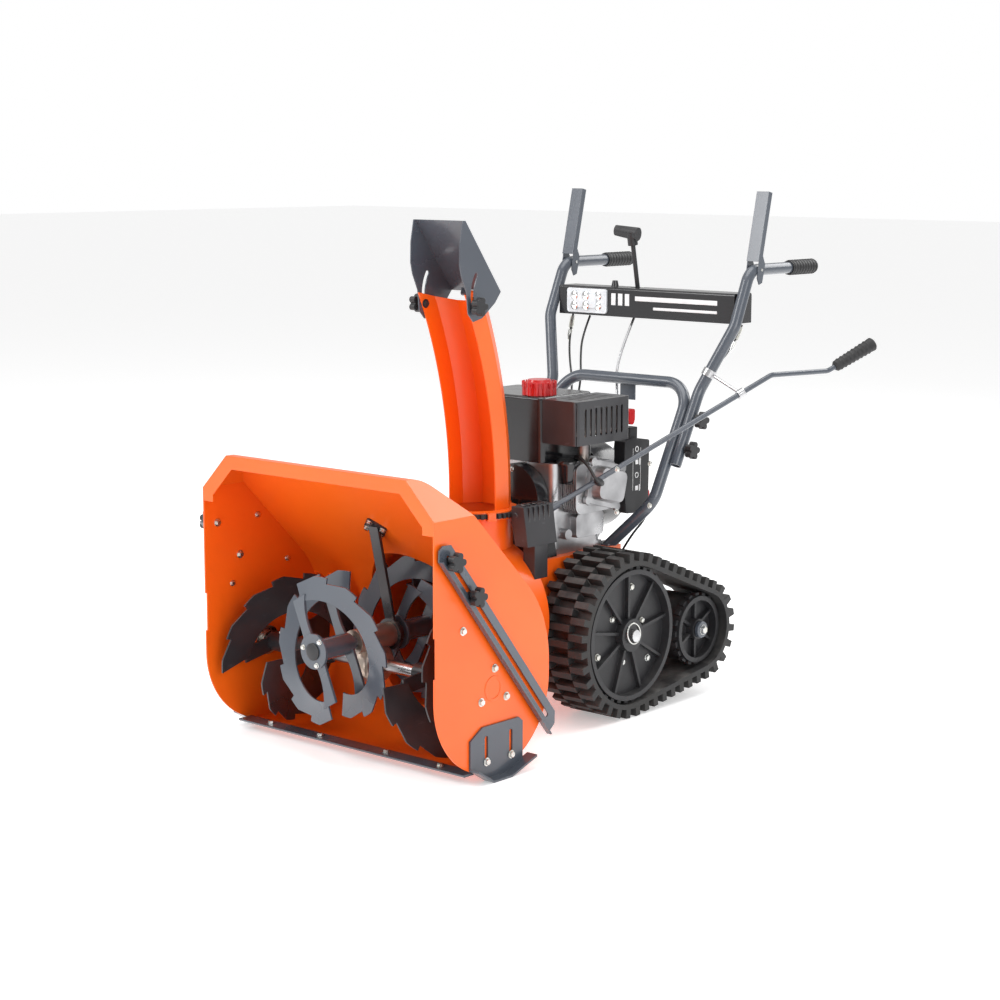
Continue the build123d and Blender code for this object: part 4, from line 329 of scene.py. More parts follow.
class Look(Enum):
    """Every finish on the machine."""

    ORANGE = Finish(
        "orange_powder_coat", (0.88, 0.130, 0.006), (0.84, 0.108, 0.005), (0.30, 0.38),
        tone_scale=3.0, grain_scale=900.0, grain_depth=0.00003, cells=0.1, coat=0.15, dust=0.0,
        scuff=0.0, scuff_shade=(0.45, 0.08, 0.02),
    )
    SLATE = Finish(
        "slate_gloss_paint", (0.070, 0.082, 0.102), (0.056, 0.066, 0.084), (0.22, 0.32),
        tone_scale=5.0, grain_scale=800.0, grain_depth=0.00003, cells=0.1, coat=0.4, dust=0.05,
        scuff=0.10, scuff_shade=(0.20, 0.21, 0.23),
    )
    AUGER = Finish(
        "black_auger_paint", (0.018, 0.018, 0.021), (0.030, 0.030, 0.034), (0.24, 0.42),
        grain_scale=700.0, grain_depth=0.00004, cells=0.2, coat=0.2, dust=0.12, scuff=0.25,
        scuff_shade=(0.10, 0.10, 0.11),
    )
    MOULDED = Finish(
        "moulded_black_plastic", (0.013, 0.013, 0.015), (0.020, 0.020, 0.022), (0.38, 0.55),
        grain_scale=1100.0, grain_depth=0.00009, cells=0.6, dust=0.10, scuff=0.10,
        scuff_shade=(0.06, 0.06, 0.06),
    )
    GLOSSY = Finish(
        "glossy_black_cover", (0.010, 0.010, 0.012), (0.015, 0.015, 0.017), (0.14, 0.28),
        grain_scale=900.0, grain_depth=0.00004, cells=0.3, coat=0.3, dust=0.10, scuff=0.08,
        scuff_shade=(0.06, 0.06, 0.06),
    )
    RUBBER = Finish(
        "track_rubber", (0.016, 0.016, 0.017), (0.030, 0.029, 0.028), (0.55, 0.78), tone_scale=14.0,
        grain_scale=600.0, grain_depth=0.00018, cells=0.5, dust=0.25, scuff=0.3,
        scuff_shade=(0.07, 0.068, 0.064),
    )
    GRIP = Finish(
        "grip_rubber", (0.012, 0.012, 0.013), (0.020, 0.020, 0.021), (0.48, 0.62),
        grain_scale=1400.0, grain_depth=0.00012, cells=0.7, dust=0.05, scuff=0.05,
    )
    CAST = Finish(
        "cast_aluminium", (0.50, 0.50, 0.51), (0.33, 0.33, 0.34), (0.26, 0.42), 0.9,
        tone_scale=16.0, grain_scale=650.0, grain_depth=0.00014, cells=0.5, dust=0.10, scuff=0.2,
        scuff_shade=(0.25, 0.24, 0.23),
    )
    BRONZE = Finish(
        "machined_gear_case", (0.58, 0.47, 0.38), (0.50, 0.44, 0.40), (0.28, 0.42), 0.9,
        tone_scale=18.0, grain_scale=500.0, grain_depth=0.00012, cells=0.4, dust=0.05, scuff=0.2,
        scuff_shade=(0.30, 0.25, 0.21),
    )
    STEEL = Finish(
        "bright_steel", (0.60, 0.60, 0.61), (0.45, 0.45, 0.46), (0.20, 0.36), 1.0, tone_scale=20.0,
        grain_scale=1200.0, grain_depth=0.00003, cells=0.1, dust=0.02, scuff=0.1,
    )
    ZINC = Finish(
        "zinc_plate", (0.70, 0.71, 0.70), (0.60, 0.59, 0.53), (0.22, 0.34), 1.0, tone_scale=40.0,
        grain_scale=900.0, grain_depth=0.00003, cells=0.2, dust=0.03, scuff=0.1, soft_edge=0.0006,
    )
    HOT_STEEL = Finish(
        "heated_muffler_steel", (0.42, 0.36, 0.30), (0.30, 0.27, 0.27), (0.30, 0.5), 0.9,
        tone_scale=24.0, dust=0.05, scuff=0.2, scuff_shade=(0.22, 0.12, 0.07),
    )
    RED = Finish(
        "red_gloss_plastic", (0.55, 0.012, 0.014), (0.46, 0.010, 0.012), (0.20, 0.30),
        grain_scale=900.0, grain_depth=0.00004, coat=0.3, dust=0.06, scuff=0.05,
    )
    PRINT = Finish(
        "white_print", (0.82, 0.82, 0.82), (0.74, 0.74, 0.75), (0.35, 0.45), tone_scale=30.0,
        grain_depth=0.00002, dust=0.02, scuff=0.05, soft_edge=0.0,
    )
    LENS = Finish(
        "lamp_lens", (0.80, 0.83, 0.86), (0.66, 0.69, 0.72), (0.08, 0.16), 0.1, tone_scale=50.0,
        grain_scale=260.0, grain_depth=0.0002, cells=0.9, coat=0.6, dust=0.0, scuff=0.0,
    )
    LAMP = Finish(
        "lamp_reflector", (0.86, 0.86, 0.84), (0.70, 0.70, 0.70), (0.05, 0.12), 1.0,
        tone_scale=90.0, dust=0.0, scuff=0.0,
    )
    HOSE = Finish(
        "hose_rubber", (0.014, 0.014, 0.015), (0.022, 0.022, 0.023), (0.40, 0.55), soft_edge=0.0,
        grain_scale=900.0, grain_depth=0.00008,
    )


NODE_LOOKS: dict[Look, str] = {
    Look.ORANGE: "drum_shell side_plate_left side_plate_right impeller_housing chute_channel "
    "chassis_frame",
    Look.SLATE: "front_accelerator rear_accelerator impeller deflector handle_hoop "
    "handle_tube_left handle_tube_right drift_cutter_left drift_cutter_right skid_shoe_left "
    "skid_shoe_right scraper_bar clutch_lever_left clutch_lever_right crank_rod",
    Look.AUGER: "auger_left auger_right gear_case_strut worm_bracket muffler_guard",
    Look.MOULDED: "chute_ring clamp_knobs deflector_knobs shift_lever control_box "
    "drive_wheel_left drive_wheel_right idler_wheel_left idler_wheel_right recoil_handle",
    Look.GLOSSY: "fuel_tank recoil_housing panel_box belt_cover",
    Look.RUBBER: "track_belt_left track_belt_right drive_belt",
    Look.GRIP: "hand_grips",
    Look.CAST: "crankcase cylinder rocker_cover",
    Look.BRONZE: "gear_case",
    Look.STEEL: "auger_shaft drive_axle engine_pulley chute_worm crank_eyelet",
    Look.ZINC: "fixings",
    Look.HOT_STEEL: "muffler",
    Look.RED: "fuel_cap ignition_switch throttle_knob",
    Look.LENS: "headlight",
}


class Wardrobe:
    """Makes each finish once and puts it on objects."""

    def __init__(self) -> None:
        """Builds the shared effects."""
        self.library = EffectLibrary()
        self.made: dict[Look, bpy.types.Material] = {}

    def dress(self, piece: Piece, look: Look) -> Piece:
        """Gives a piece its finish and returns it."""
        if look not in self.made:
            self.made[look] = look.value.make(self.library)
        piece.data.materials.clear()
        piece.data.materials.append(self.made[look])
        return piece

    def dress_frame(self) -> None:
        """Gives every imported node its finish."""
        for look, names in NODE_LOOKS.items():
            for name in names.split():
                self.dress(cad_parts[name], look)
                log.info("dressed %s as %s", name, look.value.name)


class Bench:
    """Modelling moves shared by the sub-assemblies."""

    def __init__(self, wardrobe: Wardrobe) -> None:
        """Keeps the wardrobe that dresses finished pieces."""
        self.wardrobe = wardrobe

    @staticmethod
    def clear() -> None:
        """Deselects everything in object mode."""
        if bpy.context.mode != "OBJECT":
            bpy.ops.object.mode_set(mode="OBJECT")
        bpy.ops.object.select_all(action="DESELECT")

    @staticmethod
    def apply() -> None:
        """Writes the selected piece's place, turn and scale into its mesh."""
        bpy.ops.object.transform_apply(location=True, rotation=True, scale=True)

    @staticmethod
    def take(name: str, scale: Point = (1, 1, 1)) -> Piece:
        """Names the primitive just added, scales it and writes that into its mesh."""
        piece = bpy.context.object
        piece.name = name
        piece.scale = scale
        Bench.apply()
        return piece

    @staticmethod
    def outward() -> None:
        """Turns all faces of the piece in edit mode outwards and leaves edit mode."""
        bpy.ops.mesh.select_all(action="SELECT")
        bpy.ops.mesh.normals_make_consistent(inside=False)
        bpy.ops.object.mode_set(mode="OBJECT")

    @staticmethod
    def only(piece: Piece) -> None:
        """Selects one object and makes it active."""
        Bench.clear()
        piece.select_set(True)
        bpy.context.view_layer.objects.active = piece

    @staticmethod
    def settle(piece: Piece, place: Matrix) -> Piece:
        """Moves a piece to its place and writes that place into its mesh."""
        Bench.only(piece)
        piece.matrix_world = place @ piece.matrix_world
        Bench.apply()
        return piece

    @staticmethod
    def modify(piece: Piece, kind: str, **settings: object) -> None:
        """Adds a modifier with the given settings and applies it."""
        Bench.only(piece)
        modifier = piece.modifiers.new(kind.lower(), kind)
        for name, value in settings.items():
            setattr(modifier, name, value)
        bpy.ops.object.modifier_apply(modifier=modifier.name)

    @staticmethod
    def frame_at(origin: Point, along: Point) -> Matrix:
        """Returns a placement with +Z along the given direction."""
        turn = Vector(along).normalized().to_track_quat("Z", "Y")
        return Matrix.Translation(Vector(origin)) @ turn.to_matrix().to_4x4()

    @staticmethod
    def smooth(piece: Piece, angle: float = 35.0) -> None:
        """Smooth shading with sharp edges past an angle in degrees."""
        Bench.only(piece)
        bpy.ops.object.shade_smooth_by_angle(angle=math.radians(angle))

    def block(
        self, name: str, size: Point, centre: Point, round_by: float, turn: Matrix | None = None
    ) -> Piece:
        """Rounded block.

        Args:
            name: Piece name.
            size: Edge lengths.
            centre: Where its middle goes.
            round_by: Edge rounding.
            turn: Extra placement put in front of the centre.

        Returns:
            The block, with its place in its mesh.
        """
        self.clear()
        bpy.ops.mesh.primitive_cube_add(size=1.0)
        piece = self.take(name, size)
        self.modify(piece, "BEVEL", width=round_by, segments=3)
        place = Matrix.Translation(Vector(centre))
        self.settle(piece, place if turn is None else turn @ place)
        self.smooth(piece)
        return piece

    def turned(
        self, name: str, outline: list[tuple[float, float]], place: Matrix, steps: int = 48
    ) -> Piece:
        """Turned piece: an outline spun round the Z axis of its placement.

        Args:
            name: Piece name.
            outline: Radius and height pairs, from the lower pole to the upper pole or round a ring.
            place: Where its axis goes.
            steps: Faces round the turn.

        Returns:
            The turned piece.
        """
        self.clear()
        bpy.ops.mesh.primitive_circle_add(
            vertices=steps, radius=outline[0][0], location=(0, 0, outline[0][1])
        )
        piece = self.take(name)
        bpy.ops.object.mode_set(mode="EDIT")
        bpy.ops.mesh.select_all(action="SELECT")
        bpy.ops.mesh.edge_face_add()
        bpy.ops.mesh.select_all(action="SELECT")
        radius, height = outline[0]
        for next_radius, next_height in outline[1:]:
            bpy.ops.mesh.extrude_region_move(
                TRANSFORM_OT_translate={"value": (0, 0, next_height - height)}
            )
            grow = next_radius / radius
            bpy.ops.transform.resize(value=(grow, grow, 1.0), center_override=(0, 0, next_height))
            radius, height = next_radius, next_height
        Bench.outward()
        self.settle(piece, place)
        self.smooth(piece)
        return piece

    def coil(
        self, name: str, place: Matrix, radius: float, wire: float, pitch: float, turns: float
    ) -> Piece:
        """Round wire wound round the Z axis of its placement.

        Args:
            name: Piece name.
            place: Start of the coil's axis.
            radius: Radius to the wire's centre.
            wire: Wire radius.
            pitch: Climb of one turn.
            turns: Number of turns.

        Returns:
            The coil with closed ends.
        """
        self.clear()
        bpy.ops.mesh.primitive_circle_add(
            vertices=10, radius=wire, location=(radius, 0, 0), rotation=(math.pi / 2, 0, 0)
        )
        piece = self.take(name)
        self.modify(
            piece, "SCREW", axis="Z", angle=2 * math.pi * turns, screw_offset=pitch * turns,
            steps=int(24 * turns), render_steps=int(24 * turns), use_normal_calculate=True,
        )
        self._close(piece)
        self.settle(piece, place)
        self.smooth(piece, 60.0)
        return piece

    @staticmethod
    def _close(piece: Piece) -> None:
        """Fills open ends and turns all faces outwards."""
        bpy.ops.object.mode_set(mode="EDIT")
        bpy.ops.mesh.select_all(action="SELECT")
        bpy.ops.mesh.fill_holes(sides=0)
        Bench.outward()

    def ring(self, name: str, place: Matrix, radius: float, wire: float) -> Piece:
        """Closed ring of round wire about the Z axis of its placement."""
        self.clear()
        bpy.ops.mesh.primitive_torus_add(
            major_radius=radius, minor_radius=wire, major_segments=48, minor_segments=10
        )
        piece = self.take(name)
        self.settle(piece, place)
        self.smooth(piece, 60.0)
        return piece

    def bolt(self, name: str, place: Matrix, size: float) -> Piece:
        """Hexagon bolt head on a washer, standing on the XY plane of its placement."""
        outline = [(size * 1.05, 0.0), (size * 1.1, size * 0.08), (size * 1.05, size * 0.16)]
        washer = self.turned(f"{name}_washer", outline, Matrix(), 32)
        self.clear()
        bpy.ops.mesh.primitive_cylinder_add(
            vertices=6, radius=size * 0.95, depth=size * 0.62, location=(0, 0, size * 0.47)
        )
        head = bpy.context.object
        Bench.apply()
        self.modify(head, "BEVEL", width=size * 0.09, segments=2)
        piece = self.join(name, [washer, head])
        self.settle(piece, place)
        self.smooth(piece)
        return piece

    def bolts_on(self, node: str, starts: list[Point], way: Point, size: float) -> list[Piece]:
        """Sets one bolt head wherever a ray meets a node.

        Args:
            node: The node that carries the bolts.
            starts: Where the rays start.
            way: Direction of the rays.
            size: Size of the bolt heads.

        Returns:
            The loose bolt heads, in the order of the starts.
        """
        return [
            self.bolt("bolt", self.frame_at(*touch(node, start, way)), size)
            for start in starts
        ]

    def hose(self, name: str, points: list[Point], radius: float) -> Piece:
        """Smooth hose or cable along listed control points."""
        curve = bpy.data.curves.new(name, "CURVE")
        curve.dimensions = "3D"
        curve.bevel_depth = radius
        curve.bevel_resolution = 5
        curve.use_fill_caps = True
        curve.resolution_u = 8
        spline = curve.splines.new("NURBS")
        spline.points.add(len(points) - 1)
        for knot, point in zip(spline.points, points):
            knot.co = (*point, 1.0)
        spline.order_u = 3
        spline.use_endpoint_u = True
        return show(name, curve)

    @staticmethod
    def join(name: str, parts: list[Piece]) -> Piece:
        """Joins meshes into one piece."""
        Bench.clear()
        for part in parts:
            part.select_set(True)
        bpy.context.view_layer.objects.active = parts[0]
        if len(parts) > 1:
            bpy.ops.object.join()
        piece = bpy.context.object
        piece.name = name
        return piece

    def finish_group(self, name: str, parts: list[Piece], look: Look, body: str) -> None:
        """Joins parts into one piece and finishes it."""
        self.finish(self.join(name, parts), look, body)

    def finish(self, piece: Piece, look: Look, body: str) -> None:
        """Dresses a piece, lets it ride on its body and reports it.

        Args:
            piece: The finished piece.
            look: Its finish.
            body: The body that carries it.
        """
        self.wardrobe.dress(piece, look)
        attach(piece, body)
        log.info("built %s on %s", piece.name, body)


def touch(node: str, start: Point, toward: Point) -> tuple[Vector, Vector]:
    """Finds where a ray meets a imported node.

    Args:
        node: The node's name.
        start: Where the ray starts.
        toward: Its direction.

    Returns:
        The meeting point and the face's outward normal, or the start and the way back.
    """
    way = Vector(toward).normalized()
    met, place, normal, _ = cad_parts[node].ray_cast(Vector(start), way)
    return (place, normal) if met else (Vector(start), -way)


@dataclass
class Studio:
    """Pale floor, soft lights and the camera."""

    azimuth: float = 41.09
    elevation: float = 9.17
    roll: float = 0.13
    distance: float = 4.3725
    target: Point = (0.0350, 0.3305, 0.4537)
    lens: float = 77.8
    sky_light: float = 0.60
    lit_point: Point = (0.0, 0.3, 0.35)
    floor_shade: float = 0.92
    floor_glow: float = 0.36
    lights: tuple = (
        ("key", (-2.2, -3.0, 3.2), 2.2, 95.0),
        ("fill", (3.6, -1.2, 1.9), 2.2, 55.0),
        ("rear", (0.8, 3.8, 3.0), 2.6, 80.0),
        ("top", (0.0, 0.2, 4.2), 3.2, 95.0),
        ("low", (-0.2, -3.4, 0.6), 1.2, 14.0),
    )

    def camera(self) -> None:
        """Makes the camera at the reference viewing angle."""
        data = bpy.data.cameras.new("camera")
        data.sensor_width = 36.0
        data.lens = self.lens
        camera = show("camera", data)
        a, e = math.radians(self.azimuth), math.radians(self.elevation)
        back = Vector((math.sin(a) * math.cos(e), -math.cos(a) * math.cos(e), math.sin(e)))
        turn = (-back).to_track_quat("-Z", "Y").to_matrix().to_4x4()
        roll = Matrix.Rotation(math.radians(self.roll), 4, "Z")
        camera.matrix_world = Matrix.Translation(
            Vector(self.target) + back * self.distance
        ) @ turn @ roll
        bpy.context.scene.camera = camera

    def lamps(self) -> None:
        """Places the soft area lights and the pale surroundings."""
        for name, place, size, power in self.lights:
            data = bpy.data.lights.new(name, "AREA")
            data.size = size
            data.energy = power
            lamp = show(name, data)
            lamp.location = place
            aim = Vector(self.lit_point) - Vector(place)
            lamp.rotation_euler = aim.to_track_quat("-Z", "Y").to_euler()
        world = bpy.data.worlds.new("studio")
        world.use_nodes = True
        tree = world.node_tree
        background = tree.nodes["Background"]
        preset(background, {"Color": WHITE})
        seen = tree.nodes.new("ShaderNodeLightPath")
        level = tree.nodes.new("ShaderNodeMapRange")
        preset(level, {"To Min": self.sky_light, "To Max": 1.0})
        tree.links.new(seen.outputs["Is Camera Ray"], level.inputs["Value"])
        tree.links.new(level.outputs["Result"], background.inputs["Strength"])
        bpy.context.scene.world = world
        bpy.context.scene.view_settings.view_transform = "Standard"

    def floor(self) -> None:
        """Lays a plain pale floor."""
        Bench.clear()
        bpy.ops.mesh.primitive_plane_add(size=60.0, location=(0, 0, -0.0005))
        floor = bpy.context.object
        floor.name = "studio_floor"
        material = bpy.data.materials.new("pale_floor")
        material.use_nodes = True
        shader = material.node_tree.nodes["Principled BSDF"]
        preset(shader, {
            "Base Color": (*[self.floor_shade] * 3, 1.0),
            "Roughness": 0.4,
            "Emission Color": WHITE,
            "Emission Strength": self.floor_glow,
        })
        floor.data.materials.append(material)

    def build(self) -> None:
        """Builds the whole studio."""
        self.camera()
        self.lamps()
        self.floor()


@dataclass
class ControlLines:
    """Clutch cables, lamp wire and shift rod, held along the handles."""

    bench: Bench
    cable: float = 0.0024
    rod: float = 0.003
    clutch: list[Point] = field(default_factory=lambda: [
        (0.232, 0.888, 0.786), (0.224, 0.866, 0.740), (0.198, 0.834, 0.692), (0.170, 0.812, 0.640),
        (0.150, 0.776, 0.580), (0.146, 0.734, 0.510), (0.142, 0.704, 0.440), (0.138, 0.684, 0.384),
        (0.112, 0.662, 0.344), (0.092, 0.652, 0.3012),
    ])
    lamp: list[Point] = field(default_factory=lambda: [
        (-0.176, 0.880, 0.786), (-0.180, 0.858, 0.742), (-0.166, 0.834, 0.700),
        (-0.146, 0.812, 0.650),
        (-0.134, 0.782, 0.600), (-0.130, 0.748, 0.540), (-0.126, 0.718, 0.470),
        (-0.118, 0.690, 0.404),
        (-0.084, 0.664, 0.350), (-0.066, 0.652, 0.3012),
    ])
    shift: list[Point] = field(default_factory=lambda: [
        (-0.045, 0.872, 0.788), (-0.045, 0.812, 0.700), (-0.042, 0.808, 0.640),
        (0.008, 0.752, 0.560),
        (0.014, 0.716, 0.460), (0.014, 0.712, 0.360), (0.010, 0.652, 0.3023),
    ])

    def build(self) -> None:
        """Lays the four lines and their end fittings."""
        other = [(-x, y, z) for x, y, z in self.clutch]
        routes = (
            ("clutch_cable_left", self.clutch, self.cable, Look.HOSE),
            ("clutch_cable_right", other, self.cable, Look.HOSE),
            ("lamp_wire", self.lamp, self.cable, Look.HOSE),
            ("shift_rod", self.shift, self.rod, Look.STEEL),
        )
        for name, route, radius, look in routes:
            line = self.bench.hose(name, route, radius)
            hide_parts("control_cables")
            self.bench.finish(line, look, "frame")
            if "clutch" in name:
                self._spring(name, route)

    def _spring(self, name: str, route: list[Point]) -> None:
        """Return spring and ferrule at the upper end of a clutch cable."""
        top, below = Vector(route[0]), Vector(route[1])
        place = Bench.frame_at(top + (below - top) * 0.12, below - top)
        spring = self.bench.coil(f"{name}_spring", place, 0.0048, 0.0009, 0.0026, 11)
        self.bench.finish(spring, Look.ZINC, "frame")
        outline = [
            (0.0030, 0.0), (0.0048, 0.001), (0.0048, 0.014), (0.0036, 0.018), (0.0030, 0.024)
        ]
        place = Bench.frame_at(top + (below - top) * 0.75, below - top)
        ferrule = self.bench.turned(f"{name}_ferrule", outline, place, 24)
        self.bench.finish(ferrule, Look.ZINC, "frame")


@dataclass
class ChuteDrive:
    """Worm beside the chute ring, ribs on its guard, the crank's grip and the hose behind the
    chute.
    """

    bench: Bench
    worm_at: Point = (0.1035, 0.303, 0.43315)
    worm_long: float = 0.082
    coil_out: float = 0.011
    pitch: float = 0.01165
    wire: float = 0.0026
    grip_at: Point = (0.372, 1.010, 0.688)
    grip_ribs: int = 8
    guard_rib_count: int = 5
    rod_way: Vector = field(default_factory=lambda: Vector((0.1965, 0.386, 0.21885)).normalized())

    def worm(self) -> None:
        """Wound worm on its core, in place of the plain packed one."""
        low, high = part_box("chute_worm")
        middle = (low + high) / 2
        core_place = Bench.frame_at((middle.x, low.y, middle.z), (0, 1, 0))
        long = high.y - low.y
        outline = [(0.0052, 0.0), (0.0062, 0.0012), (0.0062, long - 0.0012), (0.0052, long)]
        core = self.bench.turned("worm_core", outline, core_place, 32)
        turns = self.worm_long / self.pitch - 0.6
        start = Bench.frame_at(Vector(self.worm_at) + Vector((0, 0.004, 0)), (0, 1, 0))
        radius = self.coil_out - self.wire
        coil = self.bench.coil("worm_coil", start, radius, self.wire, self.pitch, turns)
        piece = Bench.join("chute_worm_wound", [core, coil])
        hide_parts("chute_worm")
        self.bench.finish(piece, Look.AUGER, "chute_worm")

    def vent_hose(self) -> None:
        """Black hose that loops behind the chute."""
        points = [
            (-0.070, 0.452, 0.420), (-0.100, 0.440, 0.455), (-0.150, 0.425, 0.500),
            (-0.155, 0.418, 0.560),
            (-0.120, 0.425, 0.600), (-0.095, 0.436, 0.612), (-0.080, 0.450, 0.606),
        ]
        self.bench.finish(self.bench.hose("vent_hose", points, 0.0045), Look.HOSE, "frame")

    def guard_ribs(self) -> None:
        """Ribs on the outer and upper faces of the worm's guard."""
        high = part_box("worm_bracket")[1]
        ribs = []
        for index in range(self.guard_rib_count):
            y = self.worm_at[1] + 0.010 + index * 0.015
            spot, _ = touch("worm_bracket", (high.x + CLEAR, y, self.worm_at[2]), (-1, 0, 0))
            ribs.append(self.bench.block("rib", (0.0036, 0.0034, 0.034), tuple(spot), 0.0014))
            start = (self.worm_at[0] + 0.004, y, high.z + CLEAR)
            spot, normal = touch("worm_bracket", start, (0, 0, -1))
            if normal.z > 0.5:
                ribs.append(self.bench.block("rib", (0.020, 0.0034, 0.0036), tuple(spot), 0.0014))
        self.bench.finish_group("worm_guard_ribs", ribs, Look.GLOSSY, "frame")

    def crank_grip(self) -> None:
        """Ribbed rubber sleeve over the crank's grip."""
        along = self.rod_way
        start = Vector(self.grip_at) + along * 0.022
        outline = [(0.0080, -0.004), (0.0118, 0.0)]
        for index in range(self.grip_ribs):
            height = 0.006 + index * 0.0105
            root = 0.0120 + 0.0022 * index / self.grip_ribs
            outline += [(root, height), (root + 0.0014, height + 0.0030), (root, height + 0.0062)]
        outline += [(0.0150, 0.0950), (0.0150, 0.0985), (0.0120, 0.1015), (0.0010, 0.1020)]
        sleeve = self.bench.turned("crank_grip_sleeve", outline, Bench.frame_at(start, along))
        self.bench.finish(sleeve, Look.GRIP, "crank")

    def build(self) -> None:
        """Builds the worm, the ribs on its guard, the grip and the hose."""
        self.worm()
        self.guard_ribs()
        self.crank_grip()
        self.vent_hose()


@dataclass
class Panel:
    """Lamps and plain printed marks on the control panel."""

    bench: Bench
    lamp_rows: int = 2
    lamp_columns: int = 3
    bars: tuple[float, ...] = (-0.085, -0.066, -0.047)
    before_panel: float = 0.75

    def lamps(self) -> None:
        """Lamp domes on the headlight's face."""
        low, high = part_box("headlight")
        wide, tall = high.x - low.x, high.z - low.z
        domes = []
        for row in range(self.lamp_rows):
            for column in range(self.lamp_columns):
                x = low.x + wide * (column + 0.75) / (self.lamp_columns + 0.5)
                z = low.z + tall * (row + 0.72) / (self.lamp_rows + 0.44)
                size = min(wide / self.lamp_columns, tall / self.lamp_rows) * 0.34
                outline = [
                    (size, -0.001), (size * 1.08, 0.0006), (size * 0.92, 0.0014),
                    (size * 0.72, 0.0020), (size * 0.40, 0.0030), (size * 0.06, 0.0034),
                ]
                place = Bench.frame_at(*touch("headlight", (x, low.y - CLEAR, z), (0, 1, 0)))
                domes.append(self.bench.turned("dome", outline, place, 24))
        self.bench.finish_group("headlight_lamps", domes, Look.LAMP, "frame")

    def prints(self) -> None:
        """Three short bars and two plain stripes on the panel's front."""
        marks = [self._plate(x, 0.828, 0.012, 0.026) for x in self.bars]
        marks.append(self._plate(0.085, 0.832, 0.220, 0.010))
        marks.append(self._plate(0.110, 0.812, 0.170, 0.006))
        self.bench.finish_group("panel_stripes", marks, Look.PRINT, "frame")

    def _plate(self, x: float, z: float, wide: float, tall: float) -> Piece:
        """Thin printed plate that lies on the panel's front face."""
        turn = Bench.frame_at(*touch("panel_box", (x, self.before_panel, z), (0, 1, 0)))
        return self.bench.block("plate", (wide, tall, 0.0008), (0, 0, 0.0002), 0.0003, turn)

    def build(self) -> None:
        """Builds the lamps and the marks."""
        self.lamps()
        self.prints()


